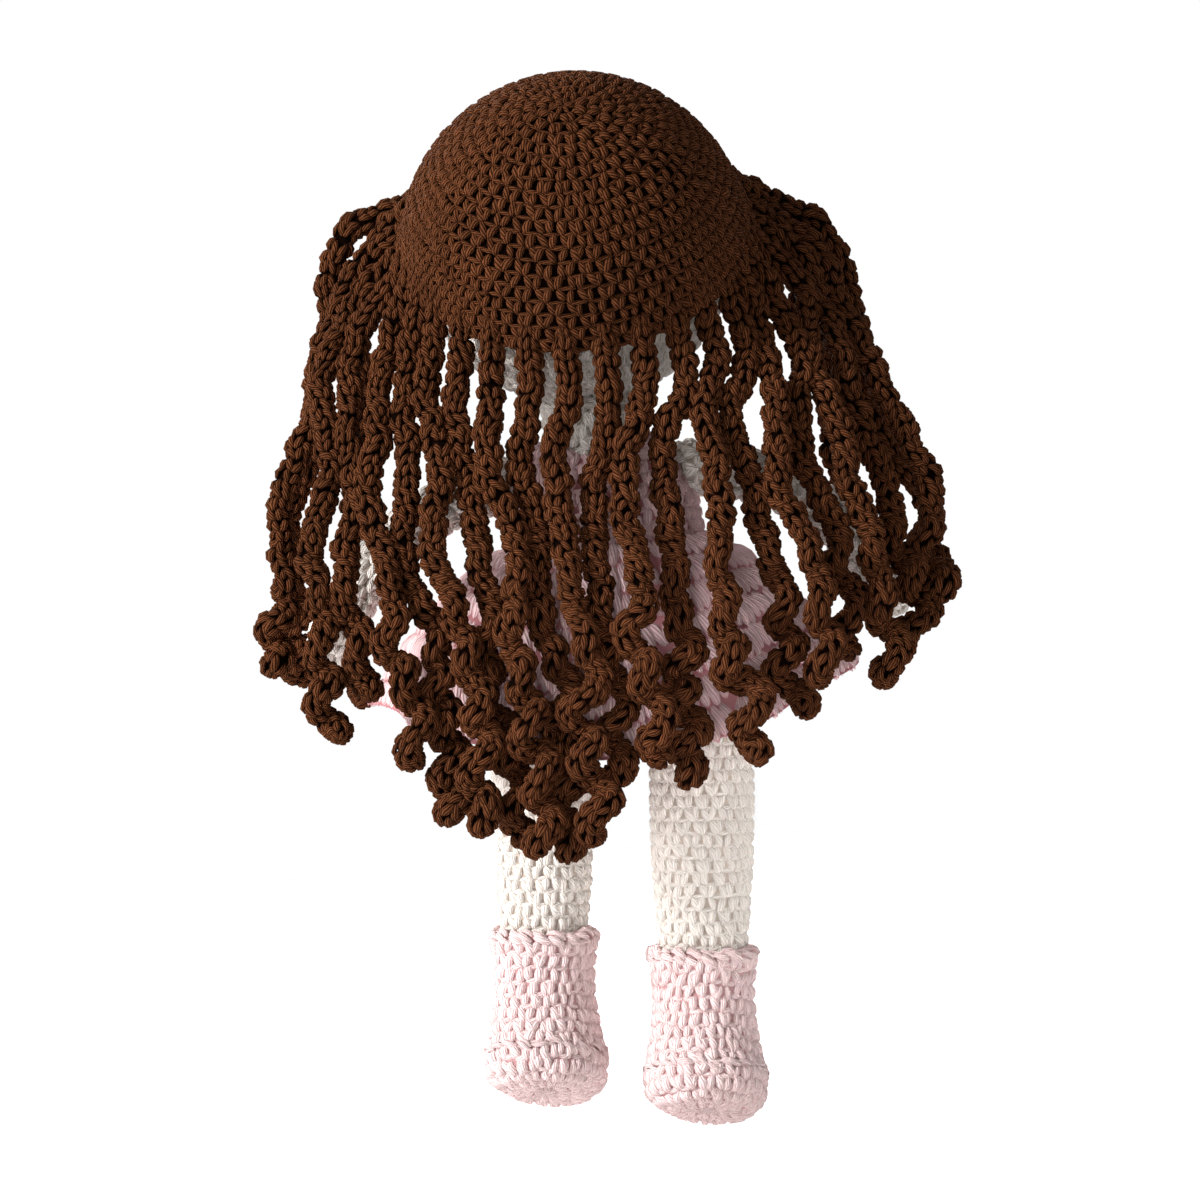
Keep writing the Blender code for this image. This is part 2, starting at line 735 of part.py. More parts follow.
def make_strand(name, points, pivot, brown):
    """One hair strand: a cord above and a corkscrew curl below, ending in a knob."""
    curve = bpy.data.curves.new(name, "CURVE")
    curve.dimensions = "3D"
    curve.bevel_depth = STRAND_RADIUS
    curve.bevel_resolution = 1
    curve.use_fill_caps = True
    spline = curve.splines.new("POLY")
    spline.points.add(len(points) - 1)
    for target, point in zip(spline.points, points):
        target.co = (*point, 1)
    spline.points[-1].radius = TIP_SWELL
    spline.points[-2].radius = TIP_SWELL
    spline.use_smooth = True
    add_object(name, curve, brown, pivot)


def measured(points):
    count = max(int(line_length(points) / MEASURING_STEP), 1)
    return [along(points, line_length(points) * i / count)[0] for i in range(count + 1)]


def print_least_gaps(strands):
    """Prints the least gap of a strand to itself, a curl away, and to the strands beside it."""
    fine = [measured(points) for points in strands]
    apart = int(CURL_PITCH / 2 / MEASURING_STEP)
    to_itself = min(
        (a - b).length
        for line in fine
        for i, a in enumerate(line)
        for b in line[i + apart :]
    )
    to_others = min(
        (a - b).length
        for step in (1, 2)
        for line, other in zip(fine, fine[step:])
        for a in line[::2]
        for b in other[::2]
    )
    print("least gap of a strand to itself", round(to_itself - 2 * STRAND_RADIUS, 5))
    print("least gap between strands", round(to_others - 2 * STRAND_RADIUS, 5))


def make_hair(pivot, brown):
    strands = []
    for number, shares in enumerate(STRAND_SHARES):
        layer = 1 if number % 2 else -1
        strands.append(strand_points(layer, shares))
    for number, points in enumerate(strands, 1):
        make_strand(f"hair_strand_{number:02d}", points, pivot, brown)
    print_least_gaps(strands)


def main():
    clear_scene()
    cream = principled("cream_yarn", (0.84, 0.79, 0.72), 0.92)
    brown = principled("brown_yarn", (0.095, 0.035, 0.015), 0.9)
    pink = principled("pink_yarn", (0.87, 0.62, 0.66), 0.9)
    boot_pink = principled("boot_yarn", (0.92, 0.71, 0.73), 0.9)
    fibre = principled("fibre_stuffing", (0.9, 0.9, 0.88), 0.95)
    black = principled("eye_black", (0.01, 0.01, 0.012), 0.12)
    white = principled("washer_white", (0.8, 0.8, 0.8), 0.4)
    neck = pivot_empty("neck_pivot", Vector((0, 0, NECK_TOP)))
    waist = pivot_empty("waist_pivot", Vector((0, 0, 0)))
    make_head(neck, cream, fibre)
    for side_name, side in (("left", 1), ("right", -1)):
        make_eye(f"eye_{side_name}", side, neck, black)
        make_washer(f"eye_washer_{side_name}", side, neck, white)
        make_arm(side_name, side, cream, fibre)
        make_leg(side_name, side, cream, fibre, boot_pink)
    make_cap(neck, brown)
    make_hair(neck, brown)
    make_body(waist, cream, fibre)
    make_dress(waist, pink)


main()
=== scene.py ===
"""Looks of a crocheted doll. Every piece is worked in single stitches of plied yarn, each a
small plump loop of mesh laid on the form of the solid that the piece stands for."""

import math
from collections import namedtuple

import bpy
import numpy as np
from mathutils import Matrix, Vector


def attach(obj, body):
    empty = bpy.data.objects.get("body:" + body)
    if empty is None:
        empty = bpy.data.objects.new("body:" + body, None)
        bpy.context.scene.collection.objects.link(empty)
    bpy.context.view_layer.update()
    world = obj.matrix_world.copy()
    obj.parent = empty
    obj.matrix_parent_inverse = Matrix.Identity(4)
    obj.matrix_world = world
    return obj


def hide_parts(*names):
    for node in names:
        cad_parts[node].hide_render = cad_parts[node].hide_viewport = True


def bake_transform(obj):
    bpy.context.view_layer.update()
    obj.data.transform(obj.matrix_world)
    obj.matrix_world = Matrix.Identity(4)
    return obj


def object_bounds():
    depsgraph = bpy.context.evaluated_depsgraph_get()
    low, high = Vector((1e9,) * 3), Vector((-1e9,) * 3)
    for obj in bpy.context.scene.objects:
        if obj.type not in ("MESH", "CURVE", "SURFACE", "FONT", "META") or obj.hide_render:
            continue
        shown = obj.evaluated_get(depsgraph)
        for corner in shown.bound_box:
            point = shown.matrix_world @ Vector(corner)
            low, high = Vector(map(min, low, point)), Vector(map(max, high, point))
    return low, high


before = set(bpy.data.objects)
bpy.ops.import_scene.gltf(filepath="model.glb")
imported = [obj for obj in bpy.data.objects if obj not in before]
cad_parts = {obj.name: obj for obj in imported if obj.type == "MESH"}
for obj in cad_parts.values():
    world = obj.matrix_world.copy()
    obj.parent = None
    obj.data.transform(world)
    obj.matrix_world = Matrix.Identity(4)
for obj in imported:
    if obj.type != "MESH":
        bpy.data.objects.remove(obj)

CAD_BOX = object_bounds()

# The photograph's view: a camera 2 m behind the doll, rolled a little
VIEW_TARGET = Vector((0.0034, 0, -0.0077))
VIEW_DISTANCE = 2.0
VIEW_WIDTH = 0.420
VIEW_ROLL = math.radians(5.5)
VIEW_ELEVATION = math.radians(1.5)

# Forms of the solids, in metres
HEAD_RADIUS = 0.0555
HEAD_OPENING_RADIUS = 0.014
CAP_RADIUS = 0.0607
CAP_TILT = math.radians(39)
CAP_REACH = math.radians(89)
# Above this height under the cap, the head's stitches can't be seen
COVERED_HEIGHT = 0.012
FIT_GAP = 0.0004
SOCKET_GAP = 0.0006
NECK_RADIUS = 0.0175
NECK_TOP = 0.0618
SHOULDER_TOP = 0.0485
BODY_DROP = 0.045
HIP_HALF_WIDTH = 0.040
HIP_HALF_DEPTH = 0.025
HIP_TILT = math.radians(12)
SHOULDER_REACH = 0.032
SHOULDER_HEIGHT = 0.0355
ARM_BALL_RADIUS = 0.0095
ARM_RADIUS = 0.0088
ARM_OPENING_RADIUS = 0.0042
ARM_LENGTH = 0.095
ARM_DROOP_START = math.radians(5)
ARM_DROOP_END = math.radians(75)
HIP_SPREAD = 0.0282
HIP_PIVOT_DROP = 0.050
LEG_BALL_RADIUS = 0.0172
LEG_RADIUS = 0.0178
LEG_OPENING_RADIUS = 0.0050
LEG_TO_CUFF = 0.078
LEG_LEAN = math.radians(5)
BOOT_WALL = 0.0034
BOOT_HEIGHT = 0.0545
BOOT_HALF_WIDTH = 0.021
HEEL_LENGTH = 0.020
TOE_LENGTH = 0.037
CUFF_RADIUS = 0.0188
FOOT_TIP = math.radians(20)
FOOT_TURN = math.radians(14)
DRESS_WALL = 0.0026
SKIRT_TOP = 0.004
# The yarn skirt starts this much higher than its solid, and swells out sooner
SKIRT_RISE = 0.008
SKIRT_SWELL = 0.72
HEM_HALF_WIDTH = 0.085
HEM_HALF_DEPTH = 0.060
HEM_DROP_AT_SIDE = 0.040
HEM_DROP_AT_BACK = 0.065
FOLD_DEPTH = 0.0025
FOLD_COUNT = 9
ARMHOLE_CLEARANCE = 0.0016
NECKLINE_RADIUS = 0.016
NECKLINE_DROP = 0.0075
EYE_TURN = math.radians(23)
EYE_LIFT = math.radians(-3)

# The hair's solids
STRAND_RADIUS = 0.0037
STRAND_CLEARANCE = 0.0012
ROOT_GAP = 0.0005
ROOT_ARC = math.radians(146)
ROOT_SPREAD = math.radians(104)
ROOT_FULLNESS_SHARE = 0.45
SIDE_TURN = math.radians(90)
HAIR_HALF_WIDTH = 0.110
HAIR_BACK_DEPTH = 0.054
MIDDLE_STAGGER = 0.0020
TIP_STAGGER = 0.0050
HAIR_MIDDLE_HEIGHT = 0.045
TIP_HALF_WIDTH = 0.122
TIP_LOWEST_DROP = 0.1
TIP_DRIFT = 0.003
CURL_RADIUS = 0.0044
CURL_PITCH = 0.026
YARN_CURL_RADIUS = 0.0036
YARN_CURL_PITCH = 0.0175
CURL_GROWTH_SHARE = 0.7
CURL_START_HEIGHT = 0.020

BODY_SHARES = (
    (0.925, 0.59, 0.68),
    (0.865, 0.68, 0.72),
    (0.78, 0.735, 0.79),
    (0.63, 0.765, 0.88),
    (0.48, 0.82, 0.94),
    (0.30, 0.99, 1.00),
    (0.15, 1.00, 0.88),
    (0.065, 0.86, 0.72),
    (0.02, 0.58, 0.46),
)
BOOT_SHARES = (
    (0.20, 0.83, 0.87, 0.48),
    (0.42, 0.83, 0.87, 0.56),
    (0.64, 0.91, 0.94, 0.77),
    (0.82, 1.00, 1.00, 0.96),
    (0.93, 0.96, 0.96, 0.95),
    (0.985, 0.72, 0.70, 0.77),
)
ARM_SHARES = (
    (0.17, 1.01),
    (0.40, 0.97),
    (0.64, 0.97),
    (0.81, 1.07),
    (0.92, 1.00),
    (0.98, 0.66),
)
LEG_SHARES = (
    (0.28, 1.00),
    (0.58, 0.98),
    (0.86, 0.90),
)
STRAND_SHARES = (
    (0.965, 1.225, 1.245, 0.27),
    (0.86, 1.45, 1.435, 0.37),
    (0.785, 0.778, 0.828, 0.21),
    (0.705, 0.667, 0.605, 0.45),
    (0.625, 0.570, 0.507, 0.32),
    (0.543, 0.485, 0.395, 0.56),
    (0.465, 0.408, 0.320, 0.75),
    (0.39, 0.339, 0.255, 0.80),
    (0.305, 0.272, 0.202, 0.86),
    (0.22, 0.206, 0.152, 0.88),
    (0.13, 0.139, 0.104, 0.91),
    (0.045, 0.072, 0.054, 0.86),
    (-0.045, 0.002, 0.010, 0.68),
    (-0.13, -0.061, -0.056, 0.62),
    (-0.22, -0.150, -0.110, 0.70),
    (-0.305, -0.228, -0.218, 0.64),
    (-0.39, -0.306, -0.322, 0.51),
    (-0.465, -0.383, -0.394, 0.41),
    (-0.543, -0.461, -0.450, 0.33),
    (-0.62, -0.544, -0.555, 0.44),
    (-0.695, -0.639, -0.640, 0.33),
    (-0.76, -0.79, -0.780, 0.17),
    (-0.835, -1.46, -1.44, 0.10),
    (-0.92, -1.22, -1.24, 0.16),
)

# A stitch of single crochet: its cell, the thickness of its yarn, how far its two arms lie
# from its middle above and below, where they start and end in its row, in shares of the
# cell, how far it sits on from the stitch above, how uneven it is, and the thickness of
# the loop that runs behind its head, as a share of the yarn's
Stitch = namedtuple("Stitch", "width height yarn above below start end shift uneven bar")
CAP_STITCH = Stitch(0.0058, 0.0047, 0.0026, 0.12, 0.42, -0.56, 0.52, 0.5, 1.5, 0.72)
CREAM_STITCH = Stitch(0.0058, 0.0044, 0.0028, 0.15, 0.39, -0.62, 0.60, 0.45, 1.4, 0.8)
BOOT_STITCH = Stitch(0.0057, 0.0052, 0.0032, 0.15, 0.39, -0.62, 0.60, 0.45, 2.2, 0.8)
BODICE_STITCH = Stitch(0.0056, 0.0046, 0.0028, 0.15, 0.39, -0.62, 0.60, 0.45, 1.4, 0.8)

# How far the ground lies under pale stitches, in thicknesses of their yarn
PALE_SINK = -0.20
# The width of a stitch's arm and half the length of its bar, in stitches, the most that the
# arm is wide, in thicknesses of its yarn, and how far down the bar lies, in rows
ARM_WIDTH = 0.56
BAR_REACH = 0.56
WIDEST_ARM = 1.15
BAR_LEVEL = 0.48

# Hair as it shows: a flat cord, its yarn, and the height of a stitch hanging and curled
CORD_HALF_WIDTH = 0.0034
CORD_HALF_DEPTH = 0.0027
CORD_YARN = 0.0022
CORD_COLUMNS = 4
# Its two arms above and below, in columns from its middle, and their ends, in steps
CORD_ABOVE = 0.42
CORD_BELOW = 0.09
CORD_START = -0.74
CORD_END = 0.60
CORD_STEP_HANGING = 0.0047
CORD_STEP_CURLED = 0.0036
CORD_HANGS_ABOVE = 0.080
CORD_CURLS_BELOW = 0.030
CORD_UNEVEN_SHARE = 0.13
CORD_WAVE = 0.0008
CORD_WANDER = 0.0024
# How much the curls differ from strand to strand, in radians and as a share of the pitch
CURL_PHASE_SPREAD = 1.0
CURL_PITCH_SPREAD = 0.12
TIP_KNOB = 0.0050
KNOB_REACH = 0.0045
ROOT_LAP = 0.011
ROOT_BEND = 0.012
ROOT_THINNESS = 0.45
FULL_ROOT_SHARE = 0.45
FULL_ROOT_REACH = 0.022
# The outermost strands, which leave the cap sideways: from and over which share of the arc of
# roots they count as such, and how far and how much their arch is evened out and lowered
ARCH_SHARES = (0.78, 0.1)
ARCH_REACH = 0.085
ARCH_ROUNDS = 750
SAG_SHARES = (0.88, 0.04)
ARCH_SAG = 0.0050
# Lengths of the waves along a strand: of its line, of its course, of its size, of its twist
WAVE_LENGTH = 0.034
WANDER_LENGTH = 0.13
SIZE_LENGTH = 0.013
TWIST_LENGTH = 0.08
LINE_STEP = 0.001

# Skirt: fans of tall strokes, in rows
FAN_WIDTH = 0.0205
FAN_HEIGHT = 0.0112
FAN_STROKES = 7
# How far a stroke lies from its fan's middle at its top and its foot, in fans
FAN_TOP = 0.32
FAN_FOOT = 0.46
STROKE_YARN = 0.0027
HEM_SHARE = 1.03

# Edgings: radius of the cord, and the height of its stitches
EDGE_RADIUS = 0.0010
EDGE_STEP = 0.0055
CUFF_EDGE_RADIUS = 0.0017
CUFF_EDGE_STEP = 0.0048
NECK_SEAM_RADIUS = 0.0014
NECK_SEAM_STEP = 0.0052
SOLE_RIDGE_RADIUS = 0.0013
SOLE_RIDGE_STEP = 0.0056
SOLE_RIDGE_SHARE = 0.77

# The mouth: how far down the face, half its width, how deep its smile, and its thread
MOUTH_SHARE = 0.68
MOUTH_HALF_WIDTH = 0.0075
MOUTH_SAG = 0.0028
MOUTH_THREAD = 0.0012

# Grid of a form, and facets of a loop
GRID_STEP = 0.0012
LOOP_SIDES = 6
LOOP_RINGS = 4

# Heights of a loop's middle line at its start, middle and end, in thicknesses of its yarn
STITCH_LIFTS = np.array((-0.10, 0.30, -0.14))
BAR_LIFTS = np.array((0.0, 0.06, 0.0))
STROKE_LIFTS = np.array((-0.30, 0.36, 0.0))
STROKE_BACK_LIFTS = np.array((-0.40, -0.55, -0.40))
EDGING_LIFTS = np.array((-0.10, 0.75, 0.0))

# Yarn: the turns of its plies along a loop, their relief, and the size of fibres and patches
PLY_TWIST = 2.4
PLY_RELIEF = 0.00035
FIBRE_SCALE = 2600
PATCH_SCALE = 45

# Lamps: place, target, size, power, and the angle of the beam in degrees
LAMPS = {
    "key": ((1.6, 0.95, 0.87), (0, 0, 0.03), 0.7, 43, 150),
    "fill": ((-0.8, 1.8, 0.2), (0, 0, 0), 1.2, 0.6, 150),
    "front": ((0.6, -1.6, 0.9), (0, 0, 0), 1.2, 26, 150),
    "legs": ((-0.5, 1.2, -0.12), (-0.038, 0, -0.105), 0.1, 0.015, 7),
    "skirt": ((0.1, 1.3, -0.05), (-0.01, 0, -0.02), 0.15, 0.019, 8),
}
WORLD_STRENGTH = 0.36
FLOOR_HALF_SIZE = 1.6
FLOOR_GAP = 0.012
FLOOR_GLOW = 0.74

LEFT = np.array((1.0, 0, 0))
BACK = np.array((0, 1.0, 0))
DOWN = np.array((0, 0, -1.0))
CROWN = np.array((0, math.sin(CAP_TILT), math.cos(CAP_TILT)))
NAPE = np.array((0, math.cos(CAP_TILT), -math.sin(CAP_TILT)))
HEAD_RISE = math.sqrt(HEAD_RADIUS**2 - HEAD_OPENING_RADIUS**2)
HEAD_CENTRE = np.array((0, 0, NECK_TOP + FIT_GAP + HEAD_RISE))


def unit(vectors):
    length = np.linalg.norm(vectors, axis=-1, keepdims=True)
    return vectors / np.maximum(length, 1e-12)


def circle(count):
    """Angles at even steps, once round."""
    return 2 * np.pi * np.arange(count) / count


def travelled(steps):
    """How far along each point lies, from the steps between the points."""
    return np.concatenate([[0], np.cumsum(steps)])


class Surface:
    """A form as a grid of points, in rings from its start to its end. A place on it is a
    turn, from 0 to 1 round it, and a distance down it in metres."""

    def __init__(self, rings):
        self.points = np.array(rings)
        self.columns = self.points.shape[1]
        steps = np.linalg.norm(np.diff(self.points, axis=0), axis=2).mean(axis=1)
        self.down = travelled(steps)
        self.length = self.down[-1]
        beside = np.roll(self.points, -1, axis=1)
        self.girths = np.linalg.norm(beside - self.points, axis=2).sum(axis=1)
        across = beside - np.roll(self.points, 1, axis=1)
        normals = np.cross(across, np.gradient(self.points, axis=0))
        for ring, inner in ((0, 1), (-1, -2)):
            if self.girths[ring] < GRID_STEP:
                normals[ring] = normals[inner].mean(axis=0)
        outward = self.points - self.points.mean(axis=1, keepdims=True)
        if (unit(normals) * outward).sum() < 0:
            normals = -normals
        self.normals = unit(normals)

    def girth(self, distance):
        return np.interp(distance, self.down, self.girths)

    def at(self, turn, distance):
        """Points and outward directions at turns and distances, given as equal arrays."""
        row = np.interp(distance, self.down, np.arange(len(self.down)))
        upper = np.minimum(row.astype(int), len(self.down) - 2)
        fall = (row - upper)[..., None]
        column = (turn % 1) * self.columns
        before = column.astype(int) % self.columns
        after = (before + 1) % self.columns
        swing = (column - np.floor(column))[..., None]

        def between(grid):
            above = grid[upper, before] * (1 - swing) + grid[upper, after] * swing
            below = grid[upper + 1, before] * (1 - swing) + grid[upper + 1, after] * swing
            return above * (1 - fall) + below * fall

        return between(self.points), unit(between(self.normals))


def loop_template():
    """Distances along a loop of yarn, its plumpness there, and its triangles with their
    places in the ply pattern. The first and the last point close the loop's ends."""
    along = np.concatenate([[0], (np.arange(LOOP_RINGS) + 0.5) / LOOP_RINGS, [1]])
    plump = (1 - np.abs(2 * along - 1) ** 2.2) ** 0.5
    corners = []
    for side in range(LOOP_SIDES):
        corners.append([(side, 0), (side, 1), (side + 1, 1)])
        for ring in range(1, LOOP_RINGS):
            corners.append([(side, ring), (side, ring + 1), (side + 1, ring + 1)])
            corners.append([(side, ring), (side + 1, ring + 1), (side + 1, ring)])
        corners.append([(side, LOOP_RINGS), (side, LOOP_RINGS + 1), (side + 1, LOOP_RINGS)])
    side, ring = np.moveaxis(np.array(corners), -1, 0)
    faces = 1 + (ring - 1) * LOOP_SIDES + side % LOOP_SIDES
    faces = np.clip(faces, 0, 1 + LOOP_RINGS * LOOP_SIDES)
    return along, plump, faces, np.stack([side / LOOP_SIDES, along[ring]], axis=-1)


ALONG, PLUMP, LOOP_FACES, LOOP_PLACES = loop_template()
LOOP_ANGLES = circle(LOOP_SIDES)


class Yarn:
    """Collects the loops and the ground of one crocheted piece, then makes its object."""

    def __init__(self, name, seed):
        self.name = name
        self.random = np.random.default_rng(seed)
        self.parts = []
        self.count = 0

    def add(self, points, faces, places, tones):
        self.parts.append((points, faces + self.count, places, tones))
        self.count += len(points)

    def loops(self, surface, starts, ends, width, thickness, lifts, bow=0.0):
        """Plump loops of yarn from starts to ends, which are rows of turn and distance.
        Lifts are the heights of a loop's middle line at its start, middle and end."""
        count = len(starts)
        if not count:
            return
        turn = starts[:, :1] + (ends[:, :1] - starts[:, :1]) * ALONG
        turn = turn + np.reshape(bow, (-1, 1)) * np.sin(np.pi * ALONG)
        distance = starts[:, 1:] + (ends[:, 1:] - starts[:, 1:]) * ALONG
        points, normals = surface.at(turn, distance)
        first, middle, last = lifts
        hump = middle - (first + last) / 2
        lift = first * (1 - ALONG) + last * ALONG + hump * 4 * ALONG * (1 - ALONG)
        lift = np.broadcast_to(lift, turn.shape)[..., None]
        centres = points + normals * lift
        forward = unit(np.gradient(centres, axis=1))
        across = unit(np.cross(normals, forward))
        upward = unit(np.cross(forward, across))
        vary = 1 + self.random.normal(0, 0.08, (count, 1, 1))
        widths = np.reshape(width, (-1, 1, 1)) / 2 * vary * PLUMP[:, None]
        depths = thickness / 2 * vary * PLUMP[:, None]
        sideways = (across * widths)[:, 1:-1, None] * np.cos(LOOP_ANGLES)[:, None]
        upwards = (upward * depths)[:, 1:-1, None] * np.sin(LOOP_ANGLES)[:, None]
        rings = (centres[:, 1:-1, None] + sideways + upwards).reshape(count, -1, 3)
        every = np.concatenate([centres[:, :1], rings, centres[:, -1:]], axis=1)
        heights = lift[:, 1:-1] + depths[:, 1:-1] * np.sin(LOOP_ANGLES)
        heights = np.concatenate([lift[:, 0], heights.reshape(count, -1), lift[:, -1]], axis=1)
        # How high each point lies on its loop, from 0 to 1, which the material uses to paint
        # shade on the low parts
        rise = np.clip(heights / (middle + thickness / 2), 0, 1)
        tone = np.broadcast_to(self.random.random((count, 1)), rise.shape)
        faces = LOOP_FACES + (np.arange(count) * every.shape[1])[:, None, None]
        places = np.broadcast_to(LOOP_PLACES, (count, *LOOP_PLACES.shape)).copy()
        places[..., 1] += self.random.random((count, 1, 1))
        tones = np.stack([tone, rise], axis=-1).reshape(-1, 2)
        self.add(every.reshape(-1, 3), faces.reshape(-1, 3), places.reshape(-1, 3, 2), tones)

    def ground(self, surface, sink, bottom=None, keep=None, columns=48, step=0.003):
        """The closed fabric under the loops, this far below the form."""
        bottom = surface.length if bottom is None else bottom
        rows = max(int(bottom / step), 2)
        levels = np.linspace(0, bottom, rows + 1)
        turn, distance = np.meshgrid(np.arange(columns) / columns, levels)
        points, normals = surface.at(turn, distance)
        points = points - normals * sink
        index = np.arange((rows + 1) * columns).reshape(rows + 1, columns)
        beside = np.roll(index, -1, axis=1)
        a, b, c, d = index[:-1], index[1:], beside[1:], beside[:-1]
        faces = np.moveaxis(np.array([(a, b, c), (a, c, d)]), 1, -1).reshape(-1, 3)
        flat = points.reshape(-1, 3)
        if keep is not None:
            faces = faces[keep(flat[faces].mean(axis=1))]
        scaled = np.stack([turn * columns, distance / step], axis=-1).reshape(-1, 2)
        # A rise of 0 paints the whole ground in the material's dark hollow colour, as painted
        # shade
        self.add(flat, faces, scaled[faces], np.full((len(flat), 2), (0.5, 0.0)))

    def make(self, material):
        points, faces, places, tones = [np.concatenate(part) for part in zip(*self.parts)]
        mesh = bpy.data.meshes.new(self.name)
        mesh.from_pydata(points, [], faces)
        layer = mesh.uv_layers.new(name="ply")
        layer.data.foreach_set("uv", places.astype(np.float32).ravel())
        for name, values in zip(("tone", "rise"), tones.T):
            attribute = mesh.attributes.new(name, "FLOAT", "POINT")
            attribute.data.foreach_set("value", values.astype(np.float32))
        mesh.shade_smooth()
        mesh.materials.append(material)
        return place_object(self.name, mesh)


def place_object(name, data):
    placed = bpy.data.objects.new(name, data)
    bpy.context.scene.collection.objects.link(placed)
    return placed


def kept_rows(keep, surface, starts, ends):
    """Which loops have their middle where keep allows."""
    if keep is None:
        return np.ones(len(starts), bool)
    points, _ = surface.at(*((starts + ends) / 2).T)
    return keep(points)


def pairs(turn, distance):
    """Rows of turn and distance, from a number or an array for each."""
    return np.stack(np.broadcast_arrays(turn, distance), axis=1)


def next_round(places, count, shift, random):
    """Places of the next round's stitches: each is worked into one of the round before, two
    into the same where the round grows, and one is passed over where it shrinks."""
    old = len(places)
    source = np.floor(np.arange(count) * old / count + random.random() * old).astype(int)
    laps, source = np.divmod(source, old)
    beside = np.append(places, places[0] + 1)
    fresh = laps + beside[source] * (1 - shift) + beside[source + 1] * shift
    for _ in range(4):
        closed = np.concatenate([[fresh[-1] - 1], fresh, [fresh[0] + 1]])
        fresh = (closed[:-2] + 2 * fresh + closed[2:]) / 4
    return fresh


def crochet(yarn, surface, stitch, top=0.0, keep=None, least=6):
    """Rounds of single crochet: each stitch is a pair of loops that part downwards."""
    rounds = max(round((surface.length - top) / stitch.height), 1)
    step = (surface.length - top) / rounds
    thick = stitch.yarn
    rough = 0.05 * stitch.uneven
    places = None
    for i in range(rounds):
        middle = top + (i + 0.5) * step
        girth = surface.girth(middle)
        count = max(least, round(girth / stitch.width))
        if places is None:
            places = (np.arange(count) + yarn.random.random()) / count
        else:
            places = next_round(places, count, stitch.shift, yarn.random)
        gaps = ((np.roll(places, -1) - np.roll(places, 1)) % 1) / 2
        aside = yarn.random.normal(0, rough, count)
        level = middle + yarn.random.normal(0, rough, count) * step
        for side in (-1, 1):
            lean = yarn.random.normal(0, rough, count)
            reach = yarn.random.normal(0, rough, count) * step
            above = places + (side * stitch.above + aside + lean) * gaps
            below = places + (side * stitch.below + aside - lean) * gaps
            starts = pairs(above, level + stitch.start * step)
            ends = pairs(below, level + stitch.end * step + reach)
            use = kept_rows(keep, surface, starts, ends)
            wide = np.minimum(ARM_WIDTH * girth * gaps, thick * WIDEST_ARM)[use]
            bow = (side * 0.07 * gaps)[use]
            yarn.loops(surface, starts[use], ends[use], wide, thick, STITCH_LIFTS * thick, bow)
        starts = pairs(places - BAR_REACH * gaps, level + BAR_LEVEL * step)
        ends = pairs(places + BAR_REACH * gaps, level + BAR_LEVEL * step)
        use = kept_rows(keep, surface, starts, ends)
        bar = stitch.bar * thick
        yarn.loops(surface, starts[use], ends[use], bar, bar, BAR_LIFTS * thick)


def soften(line, rounds):
    """Moves the inner points of a line, or its numbers, towards their neighbours."""
    for _ in range(rounds):
        line[1:-1] = (line[:-2] + 2 * line[1:-1] + line[2:]) / 4


def smooth_stations(stations):
    """Stations of distance, width, back and front, close together, with soft corners."""
    table = np.array(stations, float)
    reach = table[:, 1:].mean(axis=1)
    travel = travelled(np.hypot(np.diff(table[:, 0]), np.diff(reach)))
    fine = np.linspace(0, travel[-1], int(travel[-1] / GRID_STEP) + 2)
    dense = np.stack([np.interp(fine, travel, column) for column in table.T], axis=1)
    soften(dense, 3)
    return dense


def form(path, stations, columns=64):
    """The surface through stations along a path, which gives the centre at a distance and
    the directions of the width and of the back."""
    angles = circle(columns)
    rings = []
    for distance, width, back, front in stations:
        centre, across, backward = path(distance)
        reach = np.where(np.sin(angles) > 0, back, front)
        sideways = np.outer(np.cos(angles) * width, across)
        rings.append(centre + sideways + np.outer(np.sin(angles) * reach, backward))
    return Surface(rings)


def ball_stations(radius, start, end, count):
    """Stations down a ball, between two angles from its pole."""
    angles = np.linspace(start, end, count + 1)
    reach = radius * np.sin(angles)
    return np.stack([-radius * np.cos(angles), reach, reach, reach], axis=1).tolist()


def straight_path(start, direction, across):
    backward = np.cross(across, direction)

    def path(distance):
        return start + direction * distance, across, backward

    return path


def ball_surface(radius, direction, start, end, count=80, columns=160):
    """Part of a ball round the head's middle, from its pole in this direction."""
    stations = ball_stations(radius, start, end, count)
    return form(straight_path(HEAD_CENTRE, direction, LEFT), stations, columns)


def body_path(distance):
    tilt = HIP_TILT * max(distance, 0) / BODY_DROP
    return DOWN * distance, np.array((math.cos(tilt), 0, math.sin(tilt))), BACK


def body_stations():
    stations = [(-NECK_TOP, NECK_RADIUS, NECK_RADIUS, NECK_RADIUS)]
    stations.append((-SHOULDER_TOP, NECK_RADIUS, NECK_RADIUS, NECK_RADIUS))
    for height_share, width_share, depth_share in BODY_SHARES:
        height = height_share * (SHOULDER_TOP + BODY_DROP) - BODY_DROP
        depth = depth_share * HIP_HALF_DEPTH
        stations.append((-height, width_share * HIP_HALF_WIDTH, depth, depth))
    stations.append((BODY_DROP, 0, 0, 0))
    return stations


def shoulder(side):
    return np.array((side * SHOULDER_REACH, 0, SHOULDER_HEIGHT))


def hip(side):
    _, across, _ = body_path(BODY_DROP)
    return DOWN * HIP_PIVOT_DROP + across * side * HIP_SPREAD


def arm_path(side):
    bend = ARM_DROOP_END - ARM_DROOP_START
    arc = ARM_LENGTH / bend

    def path(distance):
        droop = ARM_DROOP_START + bend * max(distance, 0) / ARM_LENGTH
        out = arc * (math.sin(droop) - math.sin(ARM_DROOP_START))
        fall = arc * (math.cos(ARM_DROOP_START) - math.cos(droop))
        if distance < 0:
            out = distance * math.cos(droop)
            fall = distance * math.sin(droop)
        across = np.array((math.sin(droop), 0, side * math.cos(droop)))
        return shoulder(side) + np.array((side * out, 0, -fall)), across, BACK

    return path


